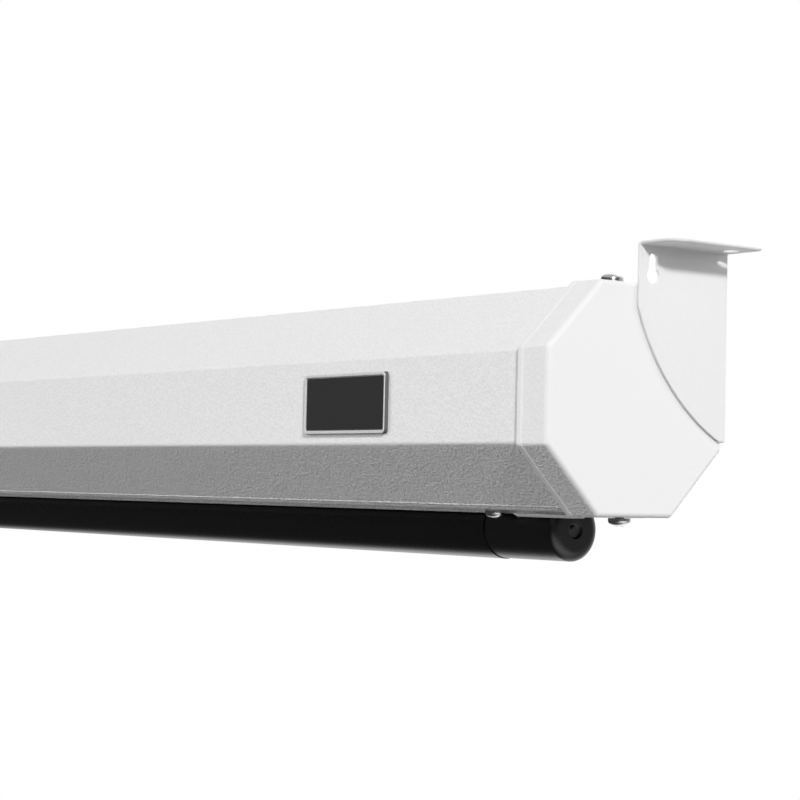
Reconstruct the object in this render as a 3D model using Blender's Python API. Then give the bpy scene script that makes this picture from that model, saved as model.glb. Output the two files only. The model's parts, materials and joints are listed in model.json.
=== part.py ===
"""Motorized projector screen: octagonal case, end caps, hanging brackets, tubular motor, roller,
fabric and weight bar.

Frame: metres, +Z up, +X along the case to the right of a viewer, +Y towards the wall.
X = 0 is the middle of the case, Y = 0 the wall plane, Z = 0 the plane of the two flange tops.
Distances named "inboard" are measured from the outer face of an end cap towards the middle.
"""

import math

import bmesh
import bpy
from mathutils import Matrix, Vector

# General clearances
FIT_GAP = 0.0003
CUT_MARGIN = 0.005
MERGE_DISTANCE = 3e-6

# Case and end caps
CASE_LENGTH = 2.120
CAP_DEPTH = 0.090
CAP_HEIGHT = 0.088
CAP_EDGE_RADIUS = 0.0020
CAP_CORNER_RADIUS = 0.0022
CAP_END_WALL = 0.0025
SLEEVE_LENGTH = 0.0166
SLEEVE_WALL = 0.00125
CASE_SHEET = 0.0012
CASE_BEND_RADIUS = 0.0022
BEAD_HEIGHT = 0.00025
BEAD_WIDTH = 0.0009
BEAD_FROM_CORNER = 0.0021
LIP_DROP = 0.00135
BAR_TO_LIP_GAP = 0.0009
RIB_HEIGHT = 0.0022
RIB_THICKNESS = 0.0012
RIB_PITCH = 0.020
TONGUE_LENGTH = 0.0335
TONGUE_THICKNESS = 0.0013
TONGUE_SAG = 0.0005
TONGUE_TIP_SHARE = 0.45
TONGUE_FRONT_SETBACK = 0.0003

# Hanging brackets
BRACKET_RISE = 0.015
BRACKET_SHEET = 0.0012
BRACKET_BEND_RADIUS = 0.0008
PLATE_DEPTH = 0.0466
PLATE_STRAIGHT_EDGE = 0.0242
PLATE_HEIGHT = 0.0747
PLATE_ARC_RADIUS = 0.0878
FLANGE_REACH = 0.0195
FLANGE_CORNER_RADIUS = 0.0100
FLANGE_HOLE_RADIUS = 0.00325
FLANGE_HOLE_TO_WALL = 0.0075
FLANGE_HOLE_TO_CAP = 0.01075
KEYHOLE_RADIUS = 0.00325
KEYHOLE_SLOT_RADIUS = 0.00195
KEYHOLE_RISE = 0.0061
KEYHOLE_TO_WALL = 0.0396
KEYHOLE_ABOVE_CAP = 0.0026
STUD_RADIUS = 0.0025
STUD_PAST_NUT = 0.0012
NUT_ACROSS_FLATS = 0.0080
NUT_HEIGHT = 0.0040

# Inner brackets
PLATE_THICKNESS = 0.0020
TAB_WIDTH = 0.0140
TAB_LENGTH = 0.0115
TAB_BEND_RADIUS = 0.0010
FOOT_PAST_SCREW = 0.0060

# Screws
CAP_SCREW_INBOARD = 0.0083
CAP_SCREW_TOP_TO_WALL = 0.0513
CAP_SCREW_BOTTOM_TO_WALL = 0.0454
LIP_SCREW_INBOARD = 0.0637
SCREW_HEAD_RADIUS = 0.0043
SCREW_HEAD_HEIGHT = 0.0029
CAP_SCREW_SHANK_RADIUS = 0.0019
LIP_SCREW_HEAD_RADIUS = 0.0040
LIP_SCREW_SHANK_RADIUS = 0.00145
SCREW_POINT = 0.0012
SCREW_CROWN_SHARE = 0.35
SCREW_DOME_SHARE = 0.7

# Roller and fabric
FABRIC_THICKNESS = 0.00035
FABRIC_INBOARD = 0.090
ROLL_CLEARANCE = 0.0025
ROLLER_ABOVE_CENTRE = 0.0
TUBE_RADIUS = 0.0160
TUBE_WALL = 0.0012
KEY_WIDTH = 0.0030
KEY_HEIGHT = 0.0012
END_RING_RADIUS = 0.0175
END_RING_THICKNESS = 0.0030
FRONT_FLANGE = 0.00805
REAR_FLANGE = 0.00325

# Idler end
PIN_RADIUS = 0.0040
PIN_COLLAR_RADIUS = 0.0060
PIN_COLLAR_THICKNESS = 0.0017
PIN_REACH = 0.0250
BUSH_WALL = 0.0017
BUSH_FLANGE_RADIUS = 0.0085
BUSH_LENGTH = 0.0200
PLUG_LENGTH = 0.0300

# Motor end
MOTOR_HEAD_RADIUS = 0.0160
MOTOR_HEAD_LENGTH = 0.0170
MOTOR_BOSS_SIDE = 0.0100
MOTOR_RADIUS = 0.0125
MOTOR_LENGTH = 0.400
CROWN_SLEEVE_LENGTH = 0.0150
SHAFT_ACROSS_FLATS = 0.0100
WHEEL_LENGTH = 0.0200
WHEEL_HOLE_RADIUS = 0.0021
WHEEL_HOLE_COUNT = 6
WHEEL_SCREW_HEAD_RADIUS = 0.0072
WHEEL_SCREW_HEAD_HEIGHT = 0.0030
WHEEL_SCREW_RADIUS = 0.0020
WHEEL_SCREW_LENGTH = 0.0120
LIMIT_SCREW_RADIUS = 0.0024
LIMIT_SCREW_DEPTH = 0.0045
LIMIT_SCREW_PROUD = 0.0012
LIMIT_SCREW_SPACING = 0.0075
LIMIT_KEY_ACROSS_FLATS = 0.0025
LIMIT_KEY_DEPTH = 0.0022
GROMMET_BORE_RADIUS = 0.0045
GROMMET_WALL = 0.0018
GROMMET_LIP = 0.0017
GROMMET_LIP_THICKNESS = 0.0015

# Weight bar
BAR_RADIUS = 0.0125
BAR_WALL = 0.0015
BAR_BELOW_CAP = 0.0053
BAR_END_INBOARD = 0.0360
BAR_PLUG_SLEEVE = 0.0404
BAR_PLUG_STEP = 0.0003
BAR_PLUG_SPIGOT = 0.0180
BAR_PLUG_EDGE_RADIUS = 0.0030
BAR_PLUG_DIMPLE_RADIUS = 0.0034
BAR_PLUG_DIMPLE_FLOOR = 0.0027
BAR_PLUG_DIMPLE_DEPTH = 0.0012
HEM_ROD_RADIUS = 0.0015
CHANNEL_LIP = 0.0017
CHANNEL_SLOT_GAP = 0.0004

# Badge
BADGE_INBOARD = 0.0959
BADGE_WIDTH = 0.0565
BADGE_HEIGHT = 0.0247
BADGE_ABOVE_BOTTOM = 0.0308
BADGE_THICKNESS = 0.0015
BADGE_BORDER = 0.0014
BADGE_EDGE = 0.0003
BADGE_RECESS = 0.0004
BADGE_PANEL_THICKNESS = 0.0008
BADGE_CORNER_RADIUS = 0.0016

# Faceting
CORNER_STEPS = 3
ROUND_STEPS = 32
SMALL_ROUND_STEPS = 20
BIG_ROUND_STEPS = 40

# How much of its inset an inner corner's radius loses
RADIUS_LOSS = 0.4

# Places that follow from the sizes
HALF_LENGTH = CASE_LENGTH / 2
CAP_Y = -CAP_DEPTH / 2
CAP_TOP = -BRACKET_RISE
CAP_Z = CAP_TOP - CAP_HEIGHT / 2
CAP_BOTTOM = CAP_TOP - CAP_HEIGHT
SLEEVE_GAP = FIT_GAP + BEAD_HEIGHT
CASE_INSET = SLEEVE_WALL + SLEEVE_GAP
CORE_INSET = CASE_INSET + CASE_SHEET + FIT_GAP
CASE_BOTTOM = CAP_BOTTOM + CASE_INSET
LIP_BOTTOM = CASE_BOTTOM - LIP_DROP
BAR_Z = CAP_BOTTOM - BAR_BELOW_CAP
SLOT_HALF_WIDTH = math.sqrt(BAR_RADIUS ** 2 - (LIP_BOTTOM - BAR_Z) ** 2) + BAR_TO_LIP_GAP
CHAMFER_SHRINK = 2 - math.sqrt(2)
CASE_FLAT_BOTTOM = FRONT_FLANGE + CASE_SHEET + 2 * SLOT_HALF_WIDTH + REAR_FLANGE
CASE_CORNER_SETBACK = (CAP_DEPTH - CASE_FLAT_BOTTOM) / 2
CAP_CHAMFER = CASE_CORNER_SETBACK - CASE_INSET + CHAMFER_SHRINK * CASE_INSET
FABRIC_Y = -(CASE_CORNER_SETBACK + REAR_FLANGE + SLOT_HALF_WIDTH)
FABRIC_TANGENT = FABRIC_Y - FABRIC_THICKNESS / 2 - FIT_GAP
ROLL_ROOM = FABRIC_TANGENT - (-CAP_DEPTH + CASE_INSET + CASE_SHEET)
ROLL_RADIUS = (ROLL_ROOM - ROLL_CLEARANCE) / 2
ROLLER_Y = FABRIC_TANGENT - ROLL_RADIUS
ROLLER_Z = CAP_Z + ROLLER_ABOVE_CENTRE
CORE_START = CAP_END_WALL + RIB_HEIGHT + FIT_GAP
CORE_END = CORE_START + PLATE_THICKNESS
STUD_REACH = CORE_END + FIT_GAP + NUT_HEIGHT + STUD_PAST_NUT
CELL = RIB_PITCH / 2
FRONT_FLANGE_EDGE = FABRIC_Y - SLOT_HALF_WIDTH - CASE_SHEET
FOOT_FRONT = -CAP_DEPTH + CORE_INSET + CAP_CHAMFER - CHAMFER_SHRINK * CORE_INSET + FIT_GAP
FOOT_REAR = FRONT_FLANGE_EDGE - FIT_GAP
LIP_SCREW_Y = (-CAP_DEPTH + CASE_CORNER_SETBACK + FRONT_FLANGE_EDGE) / 2 - FIT_GAP
BORE_RADIUS = TUBE_RADIUS - TUBE_WALL


def clear_scene():
    for thing in list(bpy.data.objects):
        bpy.data.objects.remove(thing, do_unlink=True)


def make_material(name, colour, roughness, metallic):
    material = bpy.data.materials.new(name)
    material.use_nodes = True
    shader = material.node_tree.nodes["Principled BSDF"]
    shader.inputs["Base Color"].default_value = (*colour, 1.0)
    shader.inputs["Roughness"].default_value = roughness
    shader.inputs["Metallic"].default_value = metallic
    return material


def make_empty(name, place):
    empty = bpy.data.objects.new(name, None)
    empty.location = place
    empty.empty_display_size = 0.03
    bpy.context.scene.collection.objects.link(empty)
    return empty


def make_object(name, bm, material=None, parent=None, origin=None, smooth=True):
    """Turn a bmesh in world coordinates into an object whose origin is its parent's or its own."""
    bmesh.ops.remove_doubles(bm, verts=bm.verts, dist=MERGE_DISTANCE)
    bmesh.ops.recalc_face_normals(bm, faces=bm.faces)
    place = Vector((0.0, 0.0, 0.0))
    if parent is not None:
        place = parent.location.copy()
    if origin is not None:
        place = Vector(origin)
    bmesh.ops.translate(bm, verts=bm.verts, vec=-place)
    mesh = bpy.data.meshes.new(name)
    bm.to_mesh(mesh)
    bm.free()
    if smooth:
        mesh.shade_smooth()
        mesh.set_sharp_from_angle(angle=math.radians(30))
    thing = bpy.data.objects.new(name, mesh)
    bpy.context.scene.collection.objects.link(thing)
    thing.location = place
    if parent is not None:
        thing.parent = parent
        thing.location = place - parent.location
    if material is not None:
        mesh.materials.append(material)
    return thing


def boolean(thing, tool_name, bm, operation):
    """Cut or join a shape given as a bmesh in world coordinates."""
    tool = make_object(thing.name + "_" + tool_name, bm, smooth=False)
    tool.hide_render = True
    tool.hide_set(True)
    tool.display_type = "WIRE"
    modifier = thing.modifiers.new(tool_name, "BOOLEAN")
    modifier.operation = operation
    modifier.solver = "EXACT"
    modifier.object = tool


def cut(thing, tool_name, bm):
    boolean(thing, tool_name, bm, "DIFFERENCE")


def join(thing, tool_name, bm):
    boolean(thing, tool_name, bm, "UNION")


def rounded(corners, radius, steps=CORNER_STEPS):
    """Replace each corner of a closed outline by an arc; radius is one number or one for each."""
    count = len(corners)
    radii = radius if isinstance(radius, (list, tuple)) else [radius] * count
    points = []
    for index, corner in enumerate(corners):
        here = Vector(corner)
        before = (here - Vector(corners[index - 1])).normalized()
        after = (Vector(corners[(index + 1) % count]) - here).normalized()
        turn = math.atan2(before.x * after.y - before.y * after.x, before.dot(after))
        if radii[index] <= 0 or abs(turn) < 1e-6:
            points.append(here)
            continue
        start = here - before * (radii[index] * math.tan(abs(turn) / 2))
        side = Vector((-before.y, before.x)) * math.copysign(radii[index], turn)
        centre = start + side
        for step in range(steps + 1):
            points.append(centre + Matrix.Rotation(turn * step / steps, 2) @ -side)
    return points


def circle(centre, radius, steps=ROUND_STEPS, start=0.0, sweep=math.tau):
    """Points on a circle or an arc; a full circle doesn't repeat its first point."""
    last = steps if sweep == math.tau else steps + 1
    angles = [start + sweep * step / steps for step in range(last)]
    return [Vector((centre[0] + radius * math.cos(a), centre[1] + radius * math.sin(a))) for a in angles]


def hexagon(centre, across_flats):
    return circle(centre, across_flats / math.sqrt(3), 6, math.radians(30))


def rectangle(low, high):
    return [(low[0], low[1]), (high[0], low[1]), (high[0], high[1]), (low[0], high[1])]


def to_world(plane, along, across):
    """Put a flat point (a, b) at a distance along the third axis: YZ, XZ or XY plane."""
    if plane == "YZ":
        return (along, across[0], across[1])
    if plane == "XZ":
        return (across[0], along, across[1])
    return (across[0], across[1], along)


def prism(outline, start, end, plane="YZ", holes=()):
    """Extrude a flat outline with holes, between two distances square to its plane."""
    bm = bmesh.new()
    edges = []
    for loop in [outline, *holes]:
        verts = [bm.verts.new(to_world(plane, start, point)) for point in loop]
        edges += [bm.edges.new((verts[i - 1], verts[i])) for i in range(len(verts))]
    bmesh.ops.triangle_fill(bm, use_beauty=True, use_dissolve=False, edges=edges)
    sheet = bmesh.ops.extrude_face_region(bm, geom=bm.faces[:])
    moved = [part for part in sheet["geom"] if isinstance(part, bmesh.types.BMVert)]
    bmesh.ops.translate(bm, verts=moved, vec=Vector(to_world(plane, end - start, (0, 0))))
    return bm


def loft(rings):
    """Close a stack of rings that have equally many points, with a flat face at each end."""
    bm = bmesh.new()
    rows = [[bm.verts.new(point) for point in ring] for ring in rings]
    for lower, upper in zip(rows, rows[1:]):
        for index in range(len(lower)):
            bm.faces.new((lower[index - 1], lower[index], upper[index], upper[index - 1]))
    bm.faces.new(rows[0])
    bm.faces.new(rows[-1][::-1])
    return bm


def turned(profile, axis_start, axis, steps=ROUND_STEPS, closed=False):
    """Spin a profile of (distance along the axis, radius) round an axis.

    A closed profile makes a ring; an open one starts and ends on the axis.
    """
    bm = bmesh.new()
    axis = Vector(axis).normalized()
    helper = Vector((0, 1, 0)) if abs(axis.y) < 0.9 else Vector((0, 0, 1))
    radial = axis.cross(helper).normalized()
    base = Vector(axis_start)
    verts = [bm.verts.new(base + axis * along + radial * radius) for along, radius in profile]
    edges = [bm.edges.new((a, b)) for a, b in zip(verts, verts[1:])]
    if closed:
        edges.append(bm.edges.new((verts[-1], verts[0])))
    bmesh.ops.spin(bm, geom=verts + edges, cent=base, axis=axis, dvec=(0, 0, 0), angle=math.tau,
                   steps=steps, use_merge=True)
    bmesh.ops.remove_doubles(bm, verts=bm.verts, dist=MERGE_DISTANCE)
    return bm


def cylinder(axis_start, axis, start, end, radius, steps=ROUND_STEPS):
    return turned([(start, 0), (start, radius), (end, radius), (end, 0)], axis_start, axis, steps)


def ring_profile(sections, bore):
    """Closed profile of stacked rings: sections of (start, end, radius) round one bore."""
    profile = [(sections[0][0], bore)]
    for start, end, radius in sections:
        profile += [(start, radius), (end, radius)]
    profile.append((sections[-1][1], bore))
    return profile


def inboard(side, distance):
    """X of a place that lies a distance inboard of the right (+1) or left (-1) cap's face."""
    return side * (HALF_LENGTH - distance)


def cap_corners(inset):
    """Corners of the cap's outline moved inwards, from the bottom front round to the bottom rear."""
    depth = CAP_DEPTH / 2 - inset
    height = CAP_HEIGHT / 2 - inset
    chamfer = CAP_CHAMFER - CHAMFER_SHRINK * inset
    front = [(-depth + chamfer, -height), (-depth, -height + chamfer),
             (-depth, height - chamfer), (-depth + chamfer, height)]
    rear = [(-y, z) for y, z in reversed(front)]
    return [(CAP_Y + y, CAP_Z + z) for y, z in front + rear]


def cap_reach(offset, half_size, half_other, inset):
    """Half length of a straight line across the inset outline, at an offset from its centre."""
    chamfer = CAP_CHAMFER - CHAMFER_SHRINK * inset
    past = max(0.0, abs(offset) - (half_size - inset - chamfer))
    return half_other - inset - past


def case_section():
    """Open C of bent sheet: octagon, slot lips turned down, and a bead along the lower edges."""
    outer = cap_corners(CASE_INSET)
    inner = cap_corners(CASE_INSET + CASE_SHEET)
    lip_front = FABRIC_Y - SLOT_HALF_WIDTH
    lip_rear = FABRIC_Y + SLOT_HALF_WIDTH
    floor = CASE_BOTTOM + CASE_SHEET
    bend = CASE_BEND_RADIUS
    inner_bend = CASE_BEND_RADIUS - CASE_SHEET / 2
    corners = [(lip_front - CASE_SHEET, LIP_BOTTOM), (lip_front - CASE_SHEET, CASE_BOTTOM), outer[0]]
    radii = [0, 0, bend]
    corners += bead(outer[0], outer[1])
    radii += [0, 0, 0, 0]
    corners += outer[1:7]
    radii += [bend] * 6
    corners += bead(outer[7], outer[6])[::-1]
    radii += [0, 0, 0, 0]
    corners += [outer[7], (lip_rear + CASE_SHEET, CASE_BOTTOM), (lip_rear + CASE_SHEET, LIP_BOTTOM)]
    radii += [bend, 0, 0]
    corners += [(lip_rear, LIP_BOTTOM), (lip_rear, floor)]
    radii += [0, 0]
    corners += inner[::-1]
    radii += [inner_bend] * 8
    corners += [(lip_front, floor), (lip_front, LIP_BOTTOM)]
    radii += [0, 0]
    return rounded(corners, radii)


def bead(corner, next_corner):
    """Four points of a low ridge on the chamfer, a little above its lower corner."""
    start = Vector(corner)
    along = (Vector(next_corner) - start).normalized()
    out = Vector((along.x, along.y)).orthogonal()
    centre = Vector((CAP_Y, CAP_Z))
    if out.dot(start - centre) < 0:
        out = -out
    places = [(0, 0), (0.25, 1), (0.65, 1), (1, 0)]
    return [start + along * (BEAD_FROM_CORNER + BEAD_WIDTH * s) + out * (BEAD_HEIGHT * h) for s, h in places]


def screw_shape(place, direction, head_radius, head_height, shank_radius, shank_length):
    """Pan-head screw: its head's flat side is at place, and the shank runs along direction."""
    dome = [(-head_height, 0)]
    crown = head_radius * SCREW_CROWN_SHARE
    fall = head_height * SCREW_DOME_SHARE
    for step in range(1, 5):
        angle = math.radians(90) * step / 4
        dome.append((-head_height + fall * (1 - math.cos(angle)),
                     head_radius - crown + crown * math.sin(angle)))
    dome.append((0, head_radius))
    tip = [(0, shank_radius), (shank_length - SCREW_POINT, shank_radius), (shank_length, 0)]
    return turned(dome + tip, place, direction, SMALL_ROUND_STEPS)


def make_case_shell(material, parent):
    ends = CORE_START
    bm = prism(case_section(), inboard(-1, ends), inboard(1, ends))
    case = make_object("case_shell", bm, material, parent, smooth=False)
    for side in (-1, 1):
        word = "right" if side > 0 else "left"
        x = inboard(side, CAP_SCREW_INBOARD)
        hole = CAP_SCREW_SHANK_RADIUS + FIT_GAP
        top = (x, -CAP_SCREW_TOP_TO_WALL, CAP_TOP)
        cut(case, "top_hole_" + word,
            cylinder(top, (0, 0, -1), -CUT_MARGIN, CORE_INSET + FIT_GAP, hole, SMALL_ROUND_STEPS))
        lip = (inboard(side, LIP_SCREW_INBOARD), LIP_SCREW_Y, CASE_BOTTOM)
        cut(case, "lip_hole_" + word,
            cylinder(lip, (0, 0, 1), -CUT_MARGIN, CASE_SHEET * 2, LIP_SCREW_SHANK_RADIUS + FIT_GAP,
                     SMALL_ROUND_STEPS))
        cut_ends = sorted((inboard(side, 0), inboard(side, SLEEVE_LENGTH + FIT_GAP)))
        relief = rectangle((-CAP_DEPTH, CAP_BOTTOM - CUT_MARGIN), (0.0, CASE_BOTTOM))
        cut(case, "lip_relief_" + word, prism(relief, cut_ends[0], cut_ends[1]))
    return case


def make_end_cap(side, material, parent):
    """Moulded cup that slips over the case, with ribs inside and a tongue under the front flange."""
    word = "right" if side > 0 else "left"
    rings = []
    fillet = [math.radians(90) * step / 4 for step in range(5)]
    stack = [(CAP_EDGE_RADIUS * (1 - math.cos(a)), CAP_EDGE_RADIUS * (1 - math.sin(a))) for a in fillet]
    stack += [(SLEEVE_LENGTH, 0.0), (SLEEVE_LENGTH, SLEEVE_WALL), (CAP_END_WALL, SLEEVE_WALL)]
    for distance, inset in stack:
        corner_radius = CAP_CORNER_RADIUS - inset * RADIUS_LOSS
        outline = rounded(cap_corners(inset), corner_radius)
        rings.append([(inboard(side, distance), point[0], point[1]) for point in outline])
    cap = make_object("end_cap_" + word, loft(rings), material, parent, smooth=False)

    inside = SLEEVE_WALL - FIT_GAP
    low = CAP_END_WALL - FIT_GAP
    high = CAP_END_WALL + RIB_HEIGHT
    for number in (-1, 0, 1):
        offset = number * RIB_PITCH
        tall = cap_reach(offset, CAP_DEPTH / 2, CAP_HEIGHT / 2, inside)
        wide = cap_reach(offset, CAP_HEIGHT / 2, CAP_DEPTH / 2, inside)
        half = RIB_THICKNESS / 2
        upright = rectangle((CAP_Y + offset - half, CAP_Z - tall), (CAP_Y + offset + half, CAP_Z + tall))
        level = rectangle((CAP_Y - wide, CAP_Z + offset - half), (CAP_Y + wide, CAP_Z + offset + half))
        x_low = min(inboard(side, low), inboard(side, high))
        x_high = max(inboard(side, low), inboard(side, high))
        join(cap, "upright_rib_%d" % number, prism(upright, x_low, x_high))
        join(cap, "level_rib_%d" % number, prism(level, x_low, x_high))

    tongue_front = -CAP_DEPTH + CAP_CHAMFER + TONGUE_FRONT_SETBACK
    tongue_rear = FRONT_FLANGE_EDGE - FIT_GAP
    tongue_start = inboard(side, SLEEVE_LENGTH - SLEEVE_WALL)
    tongue_end = inboard(side, SLEEVE_LENGTH + TONGUE_LENGTH)
    tongue = [(tongue_start, tongue_front), (tongue_end, tongue_front),
              (tongue_end, tongue_rear), (tongue_start, tongue_rear)]
    tip_radius = (tongue_rear - tongue_front) * TONGUE_TIP_SHARE
    z_low = CAP_BOTTOM - TONGUE_SAG
    join(cap, "tongue", prism(rounded(tongue, [0, tip_radius, tip_radius, 0], 5), z_low,
                              z_low + TONGUE_THICKNESS, "XY"))

    hole = CAP_SCREW_SHANK_RADIUS + FIT_GAP
    x = inboard(side, CAP_SCREW_INBOARD)
    top = (x, -CAP_SCREW_TOP_TO_WALL, CAP_TOP)
    bottom = (x, -CAP_SCREW_BOTTOM_TO_WALL, CAP_BOTTOM)
    cut(cap, "top_hole",
        cylinder(top, (0, 0, -1), -CUT_MARGIN, SLEEVE_WALL + SLEEVE_GAP, hole, SMALL_ROUND_STEPS))
    cut(cap, "bottom_hole",
        cylinder(bottom, (0, 0, 1), -CUT_MARGIN, SLEEVE_WALL + SLEEVE_GAP, hole, SMALL_ROUND_STEPS))
    for name, y, z in stud_places():
        start = (inboard(side, -CUT_MARGIN), y, z)
        cut(cap, "stud_hole_" + name,
            cylinder(start, (-side, 0, 0), 0, CUT_MARGIN + high + FIT_GAP, STUD_RADIUS + FIT_GAP,
                     SMALL_ROUND_STEPS))
    if side < 0:
        y, z = grommet_place()
        start = (inboard(side, -CUT_MARGIN), y, z)
        cut(cap, "grommet_hole",
            cylinder(start, (-side, 0, 0), 0, CUT_MARGIN + high + FIT_GAP,
                     GROMMET_BORE_RADIUS + GROMMET_WALL + FIT_GAP, ROUND_STEPS))
    return cap


def stud_places():
    """Centres of the two studs, each in the middle of a cell between the cap's ribs."""
    upper = ("upper", CAP_Y + CELL, CAP_Z + RIB_PITCH + CELL)
    lower = ("lower", CAP_Y + RIB_PITCH + CELL, CAP_Z + CELL)
    return [upper, lower]


def grommet_place():
    return (CAP_Y + CELL, CAP_Z - RIB_PITCH - CELL)


def make_hanger_bracket(side, material, parent):
    """Folded sheet: a plate with a long arc against the cap and a flange turned outwards on top."""
    word = "right" if side > 0 else "left"
    inner = inboard(side, -FIT_GAP)
    outer = inboard(side, -FIT_GAP - BRACKET_SHEET)
    tip = inboard(side, -FLANGE_REACH)
    foot = -PLATE_HEIGHT - CUT_MARGIN
    corners = [(inner, foot), (inner, 0.0), (tip, 0.0), (tip, -BRACKET_SHEET), (outer, -BRACKET_SHEET),
               (outer, foot)]
    radii = [0, BRACKET_BEND_RADIUS + BRACKET_SHEET, 0, 0, BRACKET_BEND_RADIUS, 0]
    folded = prism(rounded(corners, radii, 4), -PLATE_DEPTH, 0.0, "XZ")
    bracket = make_object("hanger_bracket_" + word, folded, material, parent, smooth=False)

    chord_start = Vector((-PLATE_DEPTH, -PLATE_STRAIGHT_EDGE))
    chord_end = Vector((0.0, -PLATE_HEIGHT))
    middle = (chord_start + chord_end) / 2
    half_chord = (chord_end - chord_start).length / 2
    towards_rear = (chord_end - chord_start).orthogonal().normalized()
    if towards_rear.x < 0:
        towards_rear = -towards_rear
    centre = middle + towards_rear * math.sqrt(PLATE_ARC_RADIUS ** 2 - half_chord ** 2)
    first = math.atan2(*(chord_start - centre).yx)
    last = math.atan2(*(chord_end - centre).yx)
    first = first + math.tau if first < 0 else first
    last = last + math.tau if last < 0 else last
    margin = CUT_MARGIN / PLATE_ARC_RADIUS
    arc = circle(centre, PLATE_ARC_RADIUS, 26, first - margin, last - first + 2 * margin)
    below = arc[-1].y - CUT_MARGIN
    waste = arc + [Vector((arc[-1].x, below)), Vector((arc[0].x - CUT_MARGIN, below)),
                   Vector((arc[0].x - CUT_MARGIN, arc[0].y))]
    x_low = min(inner, outer) - CUT_MARGIN
    x_high = max(inner, outer) + CUT_MARGIN
    cut(bracket, "arc", prism(waste, x_low, x_high))

    radius = FLANGE_CORNER_RADIUS
    corner = Vector((tip, -PLATE_DEPTH))
    sweep = circle((tip - side * radius, -PLATE_DEPTH + radius), radius, 8, math.radians(-90),
                   math.radians(90) * side)
    past = [Vector((tip + side * CUT_MARGIN, sweep[-1].y)),
            corner + Vector((side * CUT_MARGIN, -CUT_MARGIN)),
            Vector((sweep[0].x, -PLATE_DEPTH - CUT_MARGIN))]
    cut(bracket, "flange_corner", prism(sweep + past, -BRACKET_SHEET - CUT_MARGIN / 2, CUT_MARGIN, "XY"))

    y = -KEYHOLE_TO_WALL
    z = CAP_TOP + KEYHOLE_ABOVE_CAP
    neck = math.acos(KEYHOLE_SLOT_RADIUS / KEYHOLE_RADIUS)
    keyhole = circle((y, z), KEYHOLE_RADIUS, 20, math.pi - neck, math.pi + 2 * neck)
    keyhole += circle((y, z + KEYHOLE_RISE), KEYHOLE_SLOT_RADIUS, 10, 0.0, math.pi)
    cut(bracket, "keyhole", prism(keyhole, x_low, x_high))

    hole = (inboard(side, -FLANGE_HOLE_TO_CAP), -FLANGE_HOLE_TO_WALL, CUT_MARGIN)
    cut(bracket, "flange_hole",
        cylinder(hole, (0, 0, -1), 0, 2 * CUT_MARGIN, FLANGE_HOLE_RADIUS, SMALL_ROUND_STEPS))

    for name, y, z in stud_places():
        start = (inboard(side, -FIT_GAP - BRACKET_SHEET / 2), y, z)
        reach = FIT_GAP + BRACKET_SHEET / 2 + STUD_REACH
        stud = cylinder(start, (-side, 0, 0), 0, reach, STUD_RADIUS, SMALL_ROUND_STEPS)
        join(bracket, "stud_" + name, stud)
    return bracket


def make_bracket_nut(side, name, y, z, material, parent):
    word = "right" if side > 0 else "left"
    start = CORE_END + FIT_GAP
    ends = sorted((inboard(side, start), inboard(side, start + NUT_HEIGHT)))
    bore = circle((y, z), STUD_RADIUS + FIT_GAP, SMALL_ROUND_STEPS)
    bm = prism(hexagon((y, z), NUT_ACROSS_FLATS), ends[0], ends[1], "YZ", [bore])
    return make_object("bracket_nut_%s_%s" % (name, word), bm, material, parent)


def tab_profile(side, level, inwards, end):
    """Strip bent off the bracket's plate, seen along Y: its outer side is level, its root is filleted."""
    root = inboard(side, (CORE_START + CORE_END) / 2)
    inner_face = inboard(side, CORE_END - FIT_GAP / 2)
    tip = inboard(side, end)
    inner = level + inwards * PLATE_THICKNESS
    top = inner + inwards * (TAB_BEND_RADIUS + FIT_GAP)
    corners = [(root, level), (tip, level), (tip, inner), (inner_face, inner), (inner_face, top), (root, top)]
    return rounded(corners, [0, 0, 0, TAB_BEND_RADIUS, 0, 0])


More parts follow.
